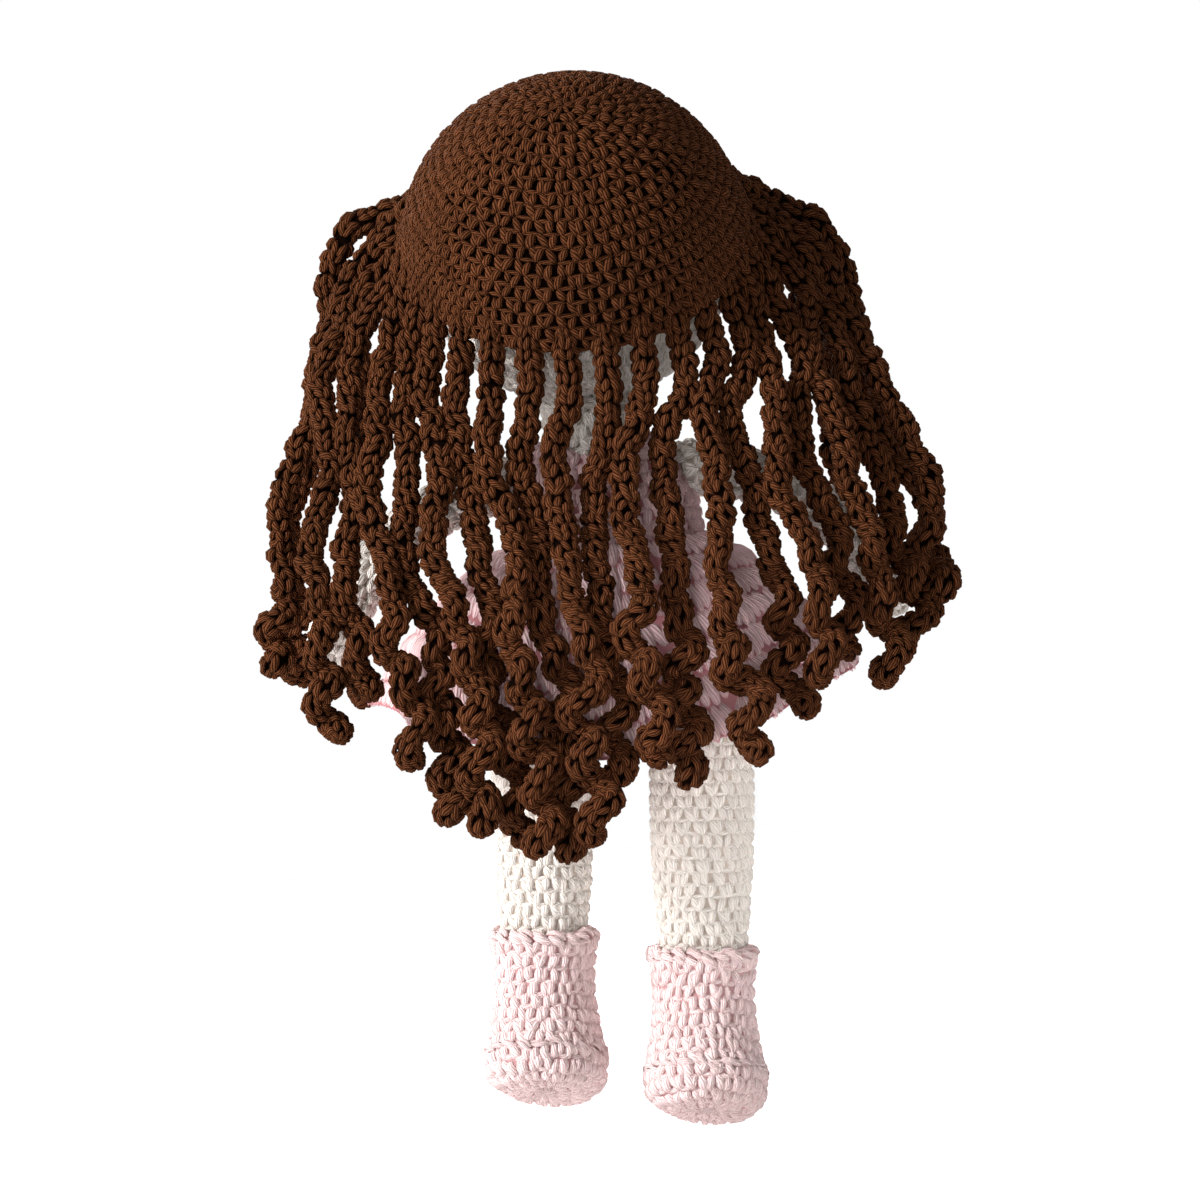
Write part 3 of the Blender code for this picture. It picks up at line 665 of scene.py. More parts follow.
def limb_stations(ball_radius, opening_radius, radius, length, shares):
    """A limb from the opening in its ball end on."""
    opening = math.asin(opening_radius / ball_radius)
    stations = ball_stations(ball_radius, opening, math.pi / 2, 6)
    for distance_share, radius_share in shares:
        reach = radius_share * radius
        stations.append((distance_share * length, reach, reach, reach))
    return stations


def arm_stations():
    sizes = (ARM_BALL_RADIUS, ARM_OPENING_RADIUS, ARM_RADIUS, ARM_LENGTH)
    return limb_stations(*sizes, ARM_SHARES) + [(ARM_LENGTH, 0, 0, 0)]


def leg_path(side):
    direction = np.array((math.sin(LEG_LEAN), 0, -math.cos(LEG_LEAN)))
    across = np.array((math.cos(LEG_LEAN), 0, math.sin(LEG_LEAN)))

    def path(distance):
        share = max(distance - LEG_TO_CUFF, 0) / BOOT_HEIGHT
        tip = FOOT_TIP * share
        turn = FOOT_TURN * min(2 * share, 1)
        centre = hip(side) + direction * min(distance, LEG_TO_CUFF)
        centre = centre + direction * BOOT_HEIGHT / FOOT_TIP * math.sin(tip)
        centre = centre + BACK * BOOT_HEIGHT / FOOT_TIP * (1 - math.cos(tip))
        tipped = BACK * math.cos(tip) - direction * math.sin(tip)
        turned = across * math.cos(turn) - tipped * math.sin(turn)
        return centre, turned, tipped * math.cos(turn) + across * math.sin(turn)

    return path


def boot_stations(inside=0.0):
    """The boot's outline, or a form this far inside it."""
    reach = CUFF_RADIUS - inside
    stations = [(LEG_TO_CUFF, reach, reach, reach)]
    height = BOOT_HEIGHT - inside
    for share, width_share, heel_share, toe_share in BOOT_SHARES:
        width = width_share * BOOT_HALF_WIDTH - inside
        heel = heel_share * HEEL_LENGTH - inside
        toe = toe_share * TOE_LENGTH - inside
        stations.append((LEG_TO_CUFF + share * height, width, heel, toe))
    return stations + [(LEG_TO_CUFF + height, 0, 0, 0)]


def leg_stations():
    sizes = (LEG_BALL_RADIUS, LEG_OPENING_RADIUS, LEG_RADIUS, LEG_TO_CUFF)
    return limb_stations(*sizes, LEG_SHARES) + boot_stations(BOOT_WALL + FIT_GAP)


def waist_sizes():
    """Half the width and half the depth of the dress at the waist."""
    distance, width, depth, _ = np.array(body_stations()).T
    wall = FIT_GAP + DRESS_WALL
    return [np.interp(-SKIRT_TOP, distance, size) + wall for size in (width, depth)]


def skirt_ring(share, angles):
    """One ring of the skirt, this share of the way down from the waist to the hem."""
    waist_width, waist_depth = waist_sizes()
    side = np.cos(angles) ** 2
    back = np.sin(angles) ** 2
    drop = HEM_DROP_AT_SIDE * side + HEM_DROP_AT_BACK * back
    fold = FOLD_DEPTH * share * np.cos(FOLD_COUNT * angles)
    swell = share**SKIRT_SWELL
    width = waist_width + (HEM_HALF_WIDTH - waist_width) * swell + fold
    reach = waist_depth + (HEM_HALF_DEPTH - waist_depth) * swell + fold
    height = SKIRT_TOP + SKIRT_RISE - share * (drop + SKIRT_RISE)
    return np.stack([width * np.cos(angles), reach * np.sin(angles), height], axis=1)


def skirt_surface():
    angles = circle(216)
    return Surface([skirt_ring(share, angles) for share in np.linspace(0, HEM_SHARE, 72)])


def bodice_surface():
    stations = smooth_stations(body_stations())
    stations[:, 1:] += SOCKET_GAP + DRESS_WALL
    worn = (-stations[:, 0] >= SKIRT_TOP) & (-stations[:, 0] <= SHOULDER_TOP)
    return form(straight_path(np.zeros(3), DOWN, LEFT), stations[worn], 96)


def strand_knots(layer, root_share, middle_share, tip_share, drop_share):
    """Where a strand leaves the cap, where it hangs at the shoulder and where it ends."""
    turn = root_share * ROOT_ARC
    outward = NAPE * math.cos(turn) + LEFT * math.sin(turn)
    spread = ROOT_SPREAD * root_share**2
    leaving = DOWN * math.cos(spread) + LEFT * math.copysign(math.sin(spread), turn)
    lean = math.acos(float(leaving @ -CROWN))
    level = unit(leaving + CROWN * math.cos(lean))
    seat = HEAD_RADIUS + SOCKET_GAP + STRAND_RADIUS
    reach = STRAND_RADIUS * math.cos(lean)
    if level @ outward > 0:
        reach = min(reach, (CAP_RADIUS + FIT_GAP - seat) / float(level @ outward))
    under_rim = CAP_RADIUS * math.cos(CAP_REACH) - ROOT_GAP - reach * math.tan(lean)
    root = HEAD_CENTRE + outward * seat + CROWN * under_rim
    turn = middle_share * SIDE_TURN
    depth = HAIR_BACK_DEPTH * math.cos(turn) + layer * MIDDLE_STAGGER
    middle = np.array((HAIR_HALF_WIDTH * math.sin(turn), depth, HAIR_MIDDLE_HEIGHT))
    turn = tip_share * SIDE_TURN
    curl = CURL_RADIUS + STRAND_RADIUS + STRAND_CLEARANCE
    tip_back = HEM_HALF_DEPTH + FOLD_DEPTH + TIP_DRIFT + curl
    depth = tip_back * math.cos(turn) + layer * TIP_STAGGER
    tip = np.array((TIP_HALF_WIDTH * math.sin(turn), depth, -drop_share * TIP_LOWEST_DROP))
    return root, leaving, middle, tip


def hermite(start, start_slope, end, end_slope, share):
    share = share[:, None]
    a = (1 + 2 * share) * (1 - share) ** 2
    b = share * (1 - share) ** 2
    c = share**2 * (3 - 2 * share)
    d = share**2 * (share - 1)
    return start * a + start_slope * b + end * c + end_slope * d


def even(points, step=LINE_STEP):
    """The same line with points at even steps."""
    travel = travelled(np.linalg.norm(np.diff(points, axis=0), axis=1))
    places = np.linspace(0, travel[-1], int(travel[-1] / step) + 2)
    return np.stack([np.interp(places, travel, column) for column in points.T], axis=1)


def strand_line(layer, shares, phase, pitch, radius):
    """The middle line of a strand, with its corkscrew curl below, whose turns start at this
    phase and have this pitch, and widen to this radius on the way down."""
    root, leaving, middle, tip = strand_knots(layer, *shares)
    start = root + leaving * 2 * STRAND_RADIUS
    falling = unit(tip - start)
    above = np.linalg.norm(middle - start)
    swing = leaving * above * (1 + ROOT_FULLNESS_SHARE * shares[0] ** 2)
    below = np.linalg.norm(tip - middle)
    share = np.arange(120) / 120
    upper = hermite(start, swing, middle, falling * above, share)
    lower = hermite(middle, falling * below, tip, DOWN * below, np.append(share, 1))
    line = even(np.concatenate([[root], upper, lower]))
    forward = unit(np.gradient(line, axis=0))
    fallen = np.maximum(CURL_START_HEIGHT - line[:, 2], 0)
    reach = (radius * eased(fallen / (CURL_GROWTH_SHARE * fallen[-1])))[:, None]
    turn = (2 * np.pi * fallen / pitch + phase)[:, None]
    across = unit(np.cross(forward, BACK))
    backward = np.cross(forward, across)
    return even(line + (across * np.cos(turn) + backward * np.sin(turn)) * reach)


def eased(share):
    """A smooth step from 0 to 1."""
    share = np.clip(share, 0, 1)
    return share**2 * (3 - 2 * share)


def ripple(random, travel, length):
    """A smooth uneven wave along a line, about 1 high, whose humps are this far apart."""
    wave = np.zeros_like(travel)
    for stretch in (1.0, 0.62, 0.41):
        phase = random.random() * 2 * np.pi
        wave += np.sin(2 * np.pi * travel / (length * stretch) + phase)
    return wave / 1.7


def rooted_line(layer, shares, random):
    """A strand's line with its start on the last rounds of the cap, and a slight wave."""
    turn = shares[0] * ROOT_ARC
    outward = NAPE * math.cos(turn) + LEFT * math.sin(turn)
    angles = CAP_REACH - np.linspace(ROOT_LAP, 0.001, 9) / CAP_RADIUS
    radial = np.outer(np.sin(angles), outward) + np.outer(np.cos(angles), CROWN)
    over_rim = HEAD_CENTRE + radial * (CAP_RADIUS - CORD_HALF_DEPTH / 2)
    phase = random.normal(0, CURL_PHASE_SPREAD)
    pitch = YARN_CURL_PITCH * (1 + random.normal(0, CURL_PITCH_SPREAD))
    radius = YARN_CURL_RADIUS * (0.75 + 0.45 * random.random())
    hanging = strand_line(layer, shares, phase, pitch, radius)
    line = even(np.concatenate([over_rim, hanging]))
    arched = eased((abs(shares[0]) - ARCH_SHARES[0]) / ARCH_SHARES[1])
    for reach, rounds in ((ROOT_LAP + ROOT_BEND, 16), (ARCH_REACH, ARCH_ROUNDS * arched)):
        soften(line[: int(reach / LINE_STEP) + 1], int(rounds))
    travel = np.arange(len(line)) * LINE_STEP
    sway = eased((travel - ROOT_LAP) / 0.04) * eased((travel[-1] - travel) / 0.02)
    across = unit(np.cross(unit(np.gradient(line, axis=0)), BACK))
    wave = ripple(random, travel, WAVE_LENGTH) * CORD_WAVE
    wave = wave + ripple(random, travel, WANDER_LENGTH) * CORD_WANDER
    line = line + across * (wave * sway)[:, None]
    sagging = eased((abs(shares[0]) - SAG_SHARES[0]) / SAG_SHARES[1])
    bump = np.exp(-(((travel - ROOT_LAP - ROOT_BEND) / 0.020) ** 2)) * sagging
    inward = DOWN - LEFT * math.copysign(0.3, shares[0])
    line = line + inward * (ARCH_SAG * bump * eased(travel / ROOT_BEND))[:, None]
    return even(line), outward


def rings_round(line, across, upward, half_widths, half_depths, columns):
    """The surface of rings round a line, with a half width and a half depth at each point."""
    angles = circle(columns)
    sideways = across[:, None] * (half_widths[:, None] * np.cos(angles))[:, :, None]
    upwards = upward[:, None] * (half_depths[:, None] * np.sin(angles))[:, :, None]
    return Surface(line[:, None] + (sideways + upwards))


def cord_surface(line, outward, fullness, random):
    """The flat cord round a strand's line: its face lies on the cap at the root, then turns
    to the back, twists a little as it hangs, and winds round itself in the curls."""
    forward = unit(np.gradient(line, axis=0))
    travel = np.arange(len(line)) * LINE_STEP
    hanging = eased((travel - ROOT_LAP) / 0.02)[:, None]
    facing = outward * (1 - hanging) + BACK * hanging
    across = unit(np.cross(forward, facing))
    upward = np.cross(across, forward)
    fallen = np.maximum(CURL_START_HEIGHT - line[:, 2], 0)
    twist = 0.8 * ripple(random, travel, TWIST_LENGTH) * hanging[:, 0]
    twist = (twist + np.pi * fallen / CURL_PITCH)[:, None]
    broad = across * np.cos(twist) + upward * np.sin(twist)
    narrow = upward * np.cos(twist) - across * np.sin(twist)
    to_tip = travel[-1] - travel
    rooted = ROOT_THINNESS + (1 - ROOT_THINNESS) * eased(travel / ROOT_LAP)
    knob = np.exp(-(((to_tip - TIP_KNOB) / KNOB_REACH) ** 2))
    past_bend = travel - ROOT_BEND - ROOT_LAP
    fuller = 1 + fullness * np.exp(-((past_bend / FULL_ROOT_REACH) ** 2))
    rounding = np.clip(to_tip / TIP_KNOB, 0, 1)
    sizes = []
    for half in (CORD_HALF_WIDTH, CORD_HALF_DEPTH):
        uneven = 1 + CORD_UNEVEN_SHARE * ripple(random, travel, SIZE_LENGTH)
        reach = half * uneven * rooted * fuller
        reach = reach + (TIP_KNOB - CORD_YARN / 2 - reach) * knob
        sizes.append(np.maximum(reach * np.sqrt(1 - (1 - rounding) ** 2), 1e-5))
    return rings_round(line, broad, narrow, *sizes, 20)


def tube_surface(line, radius):
    """A round tube along a line, whose rings turn no more than the line does."""
    forward = unit(np.gradient(line, axis=0))
    across = np.empty_like(line)
    across[0] = unit(np.cross(forward[0], BACK + 0.3 * LEFT))
    for i in range(1, len(line)):
        across[i] = unit(across[i - 1] - forward[i] * (across[i - 1] @ forward[i]))
    reach = np.full(len(line), radius)
    return rings_round(line, across, np.cross(forward, across), reach, reach, 12)


def edging(yarn, line, radius, step, columns=4):
    """A worked edge: a cord of slanting loops along a closed line of points."""
    surface = tube_surface(even(np.concatenate([line, line[:3]]), 0.0008), 0.7 * radius)
    count = round(surface.length / step)
    distance = (np.arange(count) + 0.5) * surface.length / count
    start = yarn.random.random()
    for column in range(columns):
        turn = start + column / columns + yarn.random.normal(0, 0.05, count)
        level = distance + (column / columns + yarn.random.normal(0, 0.12, count)) * step
        starts = pairs(turn - 0.16, np.clip(level - 0.72 * step, 0, surface.length))
        ends = pairs(turn + 0.16, np.clip(level + 0.72 * step, 0, surface.length))
        lifts = EDGING_LIFTS * radius
        yarn.loops(surface, starts, ends, 1.75 * radius, 1.3 * radius, lifts)
    yarn.ground(surface, 0.0, columns=8, step=0.002)


def ring_line(surface, turns, distance, lift=0.0):
    """A closed line round a form at these distances down it, raised by the lift."""
    points, normals = surface.at(turns, np.broadcast_to(distance, turns.shape))
    return points + normals * lift


def link(tree, socket, source):
    """Sets a socket from a number or a colour, or links it to another node's output."""
    if isinstance(source, bpy.types.NodeSocket):
        tree.links.new(source, socket)
    else:
        socket.default_value = source


def add_node(tree, kind, inputs=None, **settings):
    """A new node with these settings, and its inputs set or linked by name or number."""
    node = tree.nodes.new("ShaderNode" + kind)
    for name, value in settings.items():
        setattr(node, name, value)
    set_inputs(tree, node, inputs or {})
    return node


def set_inputs(tree, node, inputs):
    for name, source in inputs.items():
        link(tree, node.inputs[name], source)


def math_node(tree, operation, first, second=0.0):
    return add_node(tree, "Math", {0: first, 1: second}, operation=operation).outputs[0]


def mix_colour(tree, share, first, second, blend="MIX"):
    inputs = {"Factor": share, "A": first, "B": second}
    return add_node(tree, "Mix", inputs, data_type="RGBA", blend_type=blend).outputs["Result"]


def map_range(tree, value, low, high, to_low=0.0, to_high=1.0):
    inputs = {"Value": value, "From Min": low, "From Max": high}
    inputs.update({"To Min": to_low, "To Max": to_high})
    return add_node(tree, "MapRange", inputs).outputs[0]


def noise(tree, scale, detail, roughness=0.5):
    inputs = {"Scale": scale, "Detail": detail, "Roughness": roughness}
    inputs["Vector"] = add_node(tree, "TexCoord").outputs["Object"]
    return add_node(tree, "TexNoise", inputs).outputs["Fac"]


def add_bump(tree, shader, height, strength, distance):
    inputs = {"Height": height, "Strength": strength, "Distance": distance}
    link(tree, shader.inputs["Normal"], add_node(tree, "Bump", inputs).outputs["Normal"])


def new_material(name):
    material = bpy.data.materials.new(name)
    material.use_nodes = True
    return material, material.node_tree, material.node_tree.nodes["Principled BSDF"]


def yarn_material(name, hollow_shade, shade, light, plies=6.0, contrast=1.0, sheen=0.3, shade_rise=0.62,
                  gloss=0.12):
    """Plied yarn: fine plies that twist along each loop, with a painted highlight on their crests
    and painted shade in the grooves between them, fuzzy fibres across them, a tone that differs
    from loop to loop, and painted shade in the hollows, where the low parts of each loop and the
    ground under the loops take the dark hollow colour."""
    material, tree, shader = new_material(name)
    place = add_node(tree, "UVMap", uv_map="ply").outputs["UV"]
    place = add_node(tree, "SeparateXYZ", {0: place}).outputs
    tone = add_node(tree, "Attribute", attribute_name="tone").outputs["Fac"]
    rise = add_node(tree, "Attribute", attribute_name="rise").outputs["Fac"]
    slant = math_node(tree, "MULTIPLY", place["Y"], PLY_TWIST)
    turns = math_node(tree, "ADD", math_node(tree, "MULTIPLY", place["X"], plies), slant)
    wave = math_node(tree, "SINE", math_node(tree, "MULTIPLY", turns, 2 * math.pi))
    crest = map_range(tree, wave, -0.95, 0.45)
    fibres = noise(tree, FIBRE_SCALE, 3, 0.65)
    patches = noise(tree, PATCH_SCALE, 2)
    factor = 1.0
    for value, low, high, darker, lighter in (
        (fibres, 0.3, 0.7, 0.28, 0.20),
        (tone, 0, 1, 0.16, 0.12),
        (patches, 0.3, 0.7, 0.10, 0.08),
    ):
        limits = (1 - darker * contrast, 1 + lighter * contrast)
        factor = math_node(tree, "MULTIPLY", map_range(tree, value, low, high, *limits), factor)
    grey = add_node(tree, "CombineColor", {channel: factor for channel in range(3)})
    # Painted shading of the plies: the shade colour in the grooves between them, the light colour
    # as a painted highlight on their crests
    body = mix_colour(tree, crest, (*shade, 1), (*light, 1))
    body = mix_colour(tree, 1.0, body, grey.outputs[0], "MULTIPLY")
    # Painted shade: below the given rise, on the low flanks of each loop and on the whole ground,
    # the colour turns to the dark hollow colour
    inputs = {
        "Base Color": mix_colour(tree, map_range(tree, rise, 0.0, shade_rise), (*hollow_shade, 1), body),
        "Roughness": 0.88,
        "Specular IOR Level": gloss,
        "Sheen Weight": sheen,
        "Sheen Roughness": 0.5,
        "Sheen Tint": (*light, 1),
    }
    set_inputs(tree, shader, inputs)
    height = math_node(tree, "ADD", crest, math_node(tree, "MULTIPLY", fibres, 0.7))
    add_bump(tree, shader, height, 0.9, PLY_RELIEF)
    return material


def plain_material(name, colour, roughness, specks=0.0):
    material, tree, shader = new_material(name)
    specked = noise(tree, 900, 4)
    darker = tuple(value * (1 - specks) for value in colour)
    tinted = mix_colour(tree, specked, (*darker, 1), (*colour, 1))
    set_inputs(tree, shader, {"Base Color": tinted, "Roughness": roughness})
    add_bump(tree, shader, specked, 0.5 * specks, 0.0003)
    return material


def finish_piece(yarn, material, body, node):
    """Makes the object of a piece, which stands for a node and rides on a body."""
    piece = yarn.make(material)
    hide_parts(node)
    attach(piece, body)
    return piece


def drawn_in(stations, inset):
    """Smooth stations of a form that lies this far inside another."""
    dense = smooth_stations(stations)
    dense[:, 1:] = np.maximum(dense[:, 1:] - inset, 0)
    return dense


def worked(name, seed, surface, stitch, columns=48, **limits):
    """The rounds of stitches of a pale piece, and the ground under them."""
    yarn = Yarn(f"{name}_crochet", seed)
    crochet(yarn, surface, stitch, **limits)
    yarn.ground(surface, PALE_SINK * stitch.yarn, columns=columns)
    return yarn


def make_cap(brown):
    cap = Yarn("hair_cap_crochet", 1)
    thick = CAP_STITCH.yarn
    surface = ball_surface(CAP_RADIUS - 0.35 * thick, -CROWN, 0, CAP_REACH)
    crochet(cap, surface, CAP_STITCH)
    cap.ground(surface, 0.10 * thick, columns=96)
    lining = HEAD_RADIUS + 2 * FIT_GAP
    inner = ball_surface(lining, -CROWN, math.radians(60), CAP_REACH, 12, 96)
    cap.ground(inner, 0, columns=96)
    finish_piece(cap, brown, "head", "hair_cap")


def strand_stitches(yarn, surface):
    """V stitches down a cord: long and slim where it hangs, short and plump in the curls."""
    heights = surface.points[:, :, 2].mean(axis=1)
    thick = CORD_YARN
    offset = yarn.random.random()
    distance = 0.0
    while distance < surface.length - 0.0012:
        height = np.interp(distance, surface.down, heights)
        curled = float(eased((CORD_HANGS_ABOVE - height) / (CORD_HANGS_ABOVE - CORD_CURLS_BELOW)))
        step = CORD_STEP_HANGING + (CORD_STEP_CURLED - CORD_STEP_HANGING) * curled
        girth = surface.girth(distance + step / 2)
        places = (np.arange(CORD_COLUMNS) + offset) / CORD_COLUMNS
        aside = yarn.random.normal(0, 0.05, CORD_COLUMNS)
        level = distance + step * (0.5 + yarn.random.normal(0, 0.14, CORD_COLUMNS))
        for side in (-1, 1):
            lean = yarn.random.normal(0, 0.08, CORD_COLUMNS)
            above = places + (side * CORD_ABOVE + aside + lean) / CORD_COLUMNS
            below = places + (side * CORD_BELOW + aside - lean) / CORD_COLUMNS
            starts = pairs(above, np.maximum(level + CORD_START * step, 0))
            ends = pairs(below, np.minimum(level + CORD_END * step, surface.length))
            wide = 1.12 * girth / CORD_COLUMNS / 2
            wide = min(max(wide, 0.8 * thick), 1.3 * thick)
            lifts = (-0.45 * thick, (0.30 + 0.16 * curled) * thick, -0.15 * thick)
            yarn.loops(surface, starts, ends, wide, thick, lifts)
        offset += 0.03 + 0.35 * curled * yarn.random.random()
        distance += step


def make_strand(number, shares, brown):
    name = f"hair_strand_{number:02d}"
    layer = -1 if number % 2 else 1
    yarn = Yarn(f"{name}_crochet", 100 + number)
    line, outward = rooted_line(layer, shares, yarn.random)
    fullness = FULL_ROOT_SHARE * eased((abs(shares[0]) - 0.7) / 0.15)
    surface = cord_surface(line, outward, fullness, yarn.random)
    strand_stitches(yarn, surface)
    yarn.ground(surface, 0.0002, columns=14, step=0.002)
    piece = yarn.make(brown)
    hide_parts(name)
    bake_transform(piece)


def outside_cap(points):
    """Whether points of the head show, or lie only just under the cap's rim."""
    return (points - HEAD_CENTRE) @ CROWN < COVERED_HEIGHT


def make_head(cream):
    opening = math.pi - math.asin(HEAD_OPENING_RADIUS / HEAD_RADIUS)
    surface = ball_surface(HEAD_RADIUS - 0.7 * CREAM_STITCH.yarn, DOWN, 0, opening)
    head = worked("head", 2, surface, CREAM_STITCH, 96, keep=outside_cap)
    piece = finish_piece(head, cream, "head", "head")


def make_body(cream):
    surface = form(body_path, drawn_in(body_stations(), 0.5 * CREAM_STITCH.yarn), 96)
    body = worked("body", 3, surface, CREAM_STITCH, 64)
    seam = ring_line(surface, np.arange(120) / 120, NECK_SEAM_RADIUS / 2)
    edging(body, seam, NECK_SEAM_RADIUS, NECK_SEAM_STEP)
    piece = finish_piece(body, cream, "torso", "body")


def make_limb(name, seed, path, stations, cream):
    surface = form(path, drawn_in(stations, 0.4 * CREAM_STITCH.yarn))
    limb = worked(name, seed, surface, CREAM_STITCH)
    piece = finish_piece(limb, cream, name, name)


def make_boot(side_name, side, pink):
    thick = BOOT_STITCH.yarn
    dense = drawn_in(boot_stations(), 0.4 * thick)
    surface = form(leg_path(side), dense)
    boot = worked(f"boot_{side_name}", 20 + side, surface, BOOT_STITCH, top=CUFF_EDGE_RADIUS)
    turns = np.arange(240) / 240
    uneven = 0.8 + 0.35 * ripple(boot.random, turns, 0.25)
    cuff = ring_line(surface, turns, CUFF_EDGE_RADIUS * uneven, -0.0002)
    edging(boot, cuff, CUFF_EDGE_RADIUS, CUFF_EDGE_STEP)
    level = LEG_TO_CUFF + SOLE_RIDGE_SHARE * BOOT_HEIGHT
    level = np.interp(level, dense[:, 0], surface.down)
    level = level + 0.0012 * ripple(boot.random, turns, 0.2)
    ridge = ring_line(surface, turns, level, 0.12 * thick)
    edging(boot, ridge, SOLE_RIDGE_RADIUS, SOLE_RIDGE_STEP)
    finish_piece(boot, pink, f"leg_{side_name}", f"boot_{side_name}")


def in_neckline(points):
    height = SHOULDER_TOP - NECKLINE_DROP + NECKLINE_RADIUS
    return np.hypot(points[:, 0], points[:, 2] - height) < NECKLINE_RADIUS


def in_armhole(points, side):
    away = np.linalg.norm(points - shoulder(side), axis=1)
    return away < ARM_BALL_RADIUS + ARMHOLE_CLEARANCE


def outside_openings(points):
    """Whether points of the dress lie clear of its armholes and its neckline."""
    return ~(in_neckline(points) | in_armhole(points, 1) | in_armhole(points, -1))


def neckline_line(surface):
    """The closed edge of the neckline and the straps, a point at each turn."""
    turns = np.arange(240) / 240
    edge = np.zeros(240)
    for distance in np.arange(0, 0.016, 0.0002):
        points, _ = surface.at(turns, np.full(240, distance))
        edge = np.where(in_neckline(points), distance, edge)
    return ring_line(surface, turns, edge)


def armhole_line(surface, side):
    """The closed edge of an armhole, where the ball of the shoulder meets the bodice."""
    middle = 0.0 if side > 0 else 0.5
    levels = np.linspace(0, surface.length, 400)
    points, _ = surface.at(np.full(400, middle), levels)
    level = levels[np.linalg.norm(points - shoulder(side), axis=1).argmin()]
    angles = circle(60)

    def place(reach):
        turns = middle + reach * np.cos(angles) / surface.girth(level)
        return turns, np.clip(level + reach * np.sin(angles), 0, surface.length)

    edge = np.zeros(60)
    for reach in np.arange(0.002, 0.022, 0.0002):
        points, _ = surface.at(*place(reach))
        edge = np.where(in_armhole(points, side), reach, edge)
    return ring_line(surface, *place(edge))


def fans(yarn, skirt, length, thick):
    """Rows of shells: strokes of yarn that part downwards from one stitch, each row over
    the tops of the next, and their backs on the inside of the skirt."""
    rows = round(length / FAN_HEIGHT)
    step = length / rows
    for row in range(rows):
        top = row * step
        girth = skirt.girth(top + 0.6 * step)
        shells = round(girth / FAN_WIDTH)
        centres = (np.arange(shells) + 0.5 * (row % 2)) / shells
        centres = centres + yarn.random.normal(0, 0.03, shells) / shells
        wide = 1.38 * girth / shells / FAN_STROKES
        for spread in np.linspace(-1, 1, FAN_STROKES):
            lean = yarn.random.normal(0, 0.02, shells) / shells
            rise = yarn.random.normal(0, 0.05, shells) * step
            above = centres + spread * FAN_TOP / shells + lean
            below = centres + spread * FAN_FOOT / shells - lean
            starts = pairs(above, top - 0.12 * step + rise)
            ends = pairs(below, top + step * (1.08 - 0.12 * spread**2) + rise)
            bow = np.full(shells, spread * 0.03 / shells)
            for lifts, part in ((STROKE_LIFTS, 1.0), (STROKE_BACK_LIFTS, 0.7)):
                yarn.loops(skirt, starts, ends, wide, part * thick, lifts * thick, bow)


def make_dress(pink):
    cloth = Yarn("dress_fabric", 40)
    dress = Yarn("dress_crochet", 41)
    thick = BODICE_STITCH.yarn
    bodice = bodice_surface()
    crochet(dress, bodice, BODICE_STITCH, keep=outside_openings)
    cloth.ground(bodice, PALE_SINK * thick, keep=outside_openings, columns=160, step=0.001)
    edging(dress, neckline_line(bodice), EDGE_RADIUS, EDGE_STEP)
    for side in (1, -1):
        edging(dress, armhole_line(bodice, side), EDGE_RADIUS, EDGE_STEP)
    skirt = skirt_surface()
    hem = skirt.length / HEM_SHARE
    fans(dress, skirt, hem, STROKE_YARN)
    cloth.ground(skirt, PALE_SINK * thick, bottom=hem, columns=144)
    fabric = finish_piece(cloth, pink, "torso", "dress")
    stitches = finish_piece(dress, pink, "torso", "dress")


def make_mouth(rose):
    """A short smile of backstitches on the face."""
    mouth = Yarn("mouth_stitches", 60)
    surface = ball_surface(HEAD_RADIUS, DOWN, 0, 0.9 * math.pi, 60)
    level = surface.length * MOUTH_SHARE
    across = np.linspace(-1, 1, 5)
    turns = 0.75 + MOUTH_HALF_WIDTH * across / surface.girth(level)
    drops = level + MOUTH_SAG * (1 - across**2)
    starts = pairs(turns[:-1], drops[:-1])
    ends = pairs(turns[1:], drops[1:])
    mouth.loops(surface, starts, ends, MOUTH_THREAD, MOUTH_THREAD, (-0.0002, 0.0004, -0.0002))
    finish_piece(mouth, rose, "head", "head")


def finish_solid_nodes():
    """Materials of the nodes that no piece of yarn stands for."""
    fibre = plain_material("loose_fibre", (0.88, 0.88, 0.86), 0.95, 0.2)
    plastic = plain_material("washer_plastic", (0.8, 0.8, 0.8), 0.4, 0.05)
    black = plain_material("eye_gloss", (0.012, 0.01, 0.01), 0.08)
    materials = {"stuffing": fibre, "washer": plastic, "eye_left": black, "eye_right": black}
    for word, material in materials.items():
        for name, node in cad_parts.items():
            if word in name:
                node.data.materials.clear()
                node.data.materials.append(material)


def make_camera():
    camera = place_object("photograph_view", bpy.data.cameras.new("photograph_view"))
    camera.data.angle = 2 * math.atan(VIEW_WIDTH / 2 / VIEW_DISTANCE)
    toward = Vector((0, -math.cos(VIEW_ELEVATION), -math.sin(VIEW_ELEVATION)))
    right = Vector((-math.cos(VIEW_ROLL), 0, -math.sin(VIEW_ROLL)))
    right = (right - toward * right.dot(toward)).normalized()
    axes = Matrix((right, right.cross(toward), -toward)).transposed()
    place = VIEW_TARGET - toward * VIEW_DISTANCE
    camera.matrix_world = Matrix.Translation(place) @ axes.to_4x4()
    bpy.context.scene.camera = camera


def make_lamps():
    for name, (place, target, size, energy, beam) in LAMPS.items():
        lamp = bpy.data.lights.new(name, "AREA")
        lamp.shape = "DISK"
        lamp.size = size
        lamp.energy = energy
        lamp.spread = math.radians(beam)
        holder = place_object(name, lamp)
        holder.location = place
        facing = Vector(target) - Vector(place)
        holder.rotation_euler = facing.to_track_quat("-Z", "Y").to_euler()


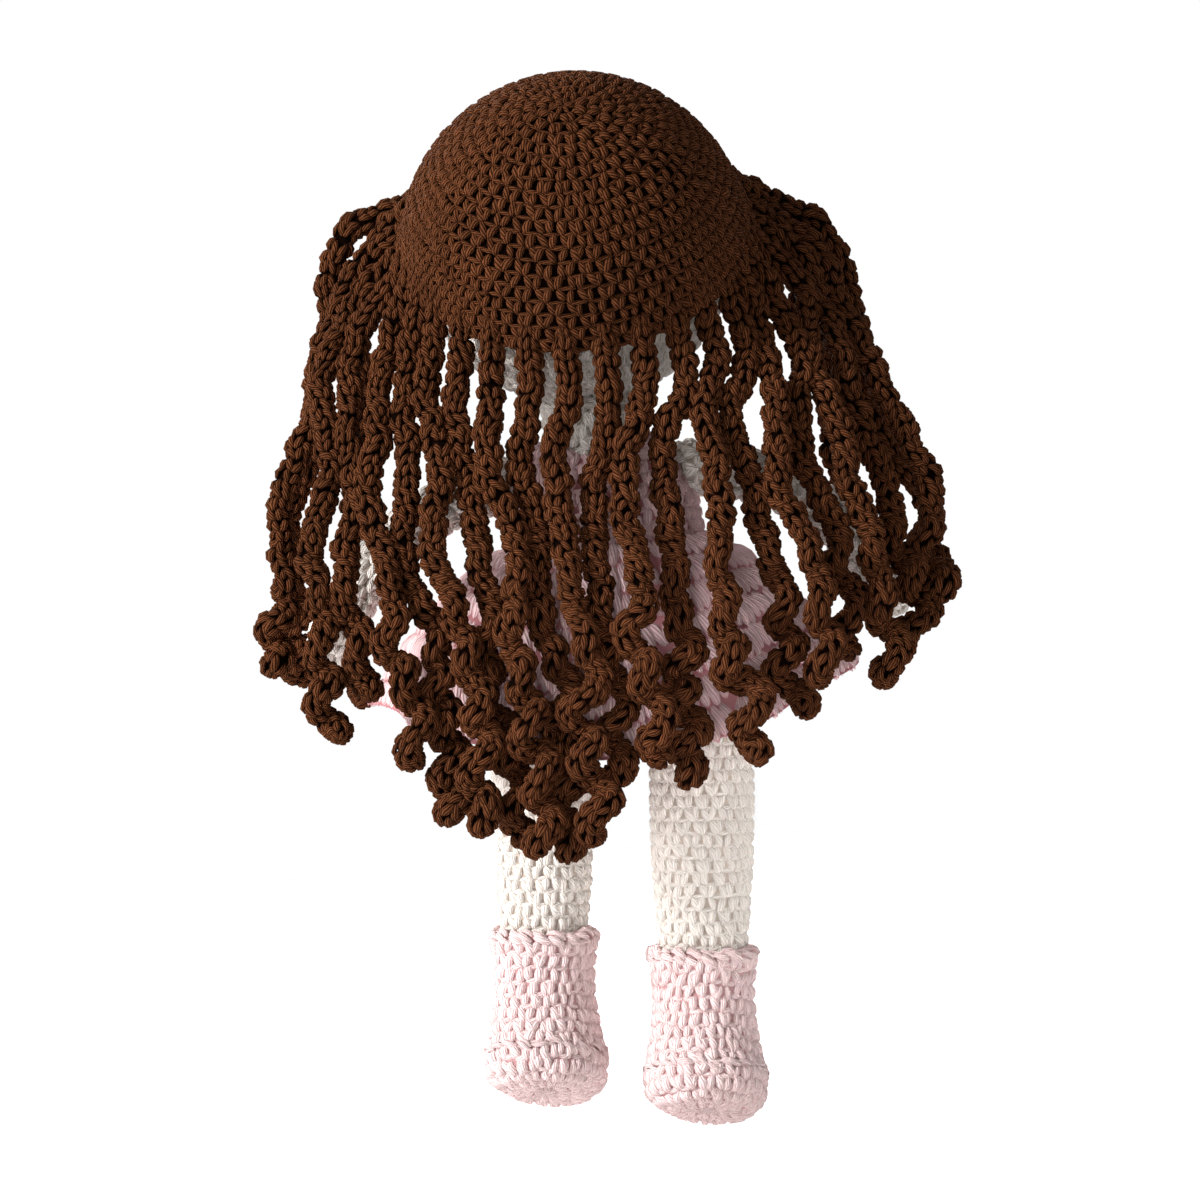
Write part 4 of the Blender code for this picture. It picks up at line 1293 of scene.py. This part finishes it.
def make_world():
    """White for the camera, in gloss and through glass, and a softer light on the doll."""
    world = bpy.data.worlds.new("studio")
    bpy.context.scene.world = world
    world.use_nodes = True
    tree = world.node_tree
    rays = add_node(tree, "LightPath").outputs
    seen = math_node(tree, "MAXIMUM", rays["Is Camera Ray"], rays["Is Glossy Ray"])
    seen = math_node(tree, "MAXIMUM", seen, rays["Is Transmission Ray"])
    strength = map_range(tree, seen, 0, 1, WORLD_STRENGTH, 1.0)
    inputs = {"Color": (1, 1, 1, 1), "Strength": strength}
    set_inputs(tree, tree.nodes["Background"], inputs)


def make_floor():
    mesh = bpy.data.meshes.new("floor")
    size = FLOOR_HALF_SIZE
    height = CAD_BOX[0][2] - FLOOR_GAP
    corners = [(-size, -size), (size, -size), (size, size), (-size, size)]
    mesh.from_pydata([(x, y, height) for x, y in corners], [], [(0, 1, 2, 3)])
    floor = place_object("floor", mesh)
    material, tree, shader = new_material("pale_floor")
    seen = add_node(tree, "LightPath").outputs["Is Camera Ray"]
    glow = math_node(tree, "MULTIPLY", seen, FLOOR_GLOW)
    set_inputs(tree, shader, {"Base Color": (0.9, 0.9, 0.9, 1), "Roughness": 0.9})
    set_inputs(tree, shader, {"Emission Color": (1, 1, 1, 1), "Emission Strength": glow})
    mesh.materials.append(material)


def main():
    # Each yarn's colours: painted shade in the hollows, painted shade in the ply grooves, and a
    # painted highlight on the ply crests
    brown = yarn_material("brown_plied_yarn", (0.0050, 0.0012, 0.0004), (0.0215, 0.0054, 0.0016),
                          (0.132, 0.0455, 0.0180), plies=8.0, sheen=0.0, shade_rise=0.58, gloss=0.03)
    cream = yarn_material("cream_plied_yarn", (0.74, 0.62, 0.53), (0.85, 0.76, 0.69),
                          (0.90, 0.84, 0.78), plies=9.0, contrast=0.25, sheen=0.1, shade_rise=0.4)
    pink = yarn_material("pink_plied_yarn", (0.70, 0.28, 0.30), (0.84, 0.48, 0.50),
                         (0.93, 0.69, 0.69), plies=10.0, contrast=0.35, sheen=0.1, shade_rise=0.45)
    boot_pink = yarn_material("boot_plied_yarn", (0.80, 0.45, 0.45), (0.88, 0.62, 0.61),
                              (0.92, 0.74, 0.73), plies=10.0, contrast=0.3, sheen=0.1, shade_rise=0.4)
    rose = yarn_material("rose_thread", (0.25, 0.05, 0.06), (0.42, 0.13, 0.14),
                         (0.55, 0.22, 0.22), contrast=0.4)
    make_camera()
    make_cap(brown)
    for number, shares in enumerate(STRAND_SHARES, 1):
        make_strand(number, shares, brown)
    make_head(cream)
    make_body(cream)
    for seed, (side_name, side) in enumerate((("left", 1), ("right", -1))):
        make_limb(f"arm_{side_name}", 10 + seed, arm_path(side), arm_stations(), cream)
        make_limb(f"leg_{side_name}", 12 + seed, leg_path(side), leg_stations(), cream)
        make_boot(side_name, side, boot_pink)
    make_dress(pink)
    make_mouth(rose)
    finish_solid_nodes()
    make_world()
    make_lamps()
    make_floor()
    bpy.context.scene.view_settings.view_transform = "Standard"


main()
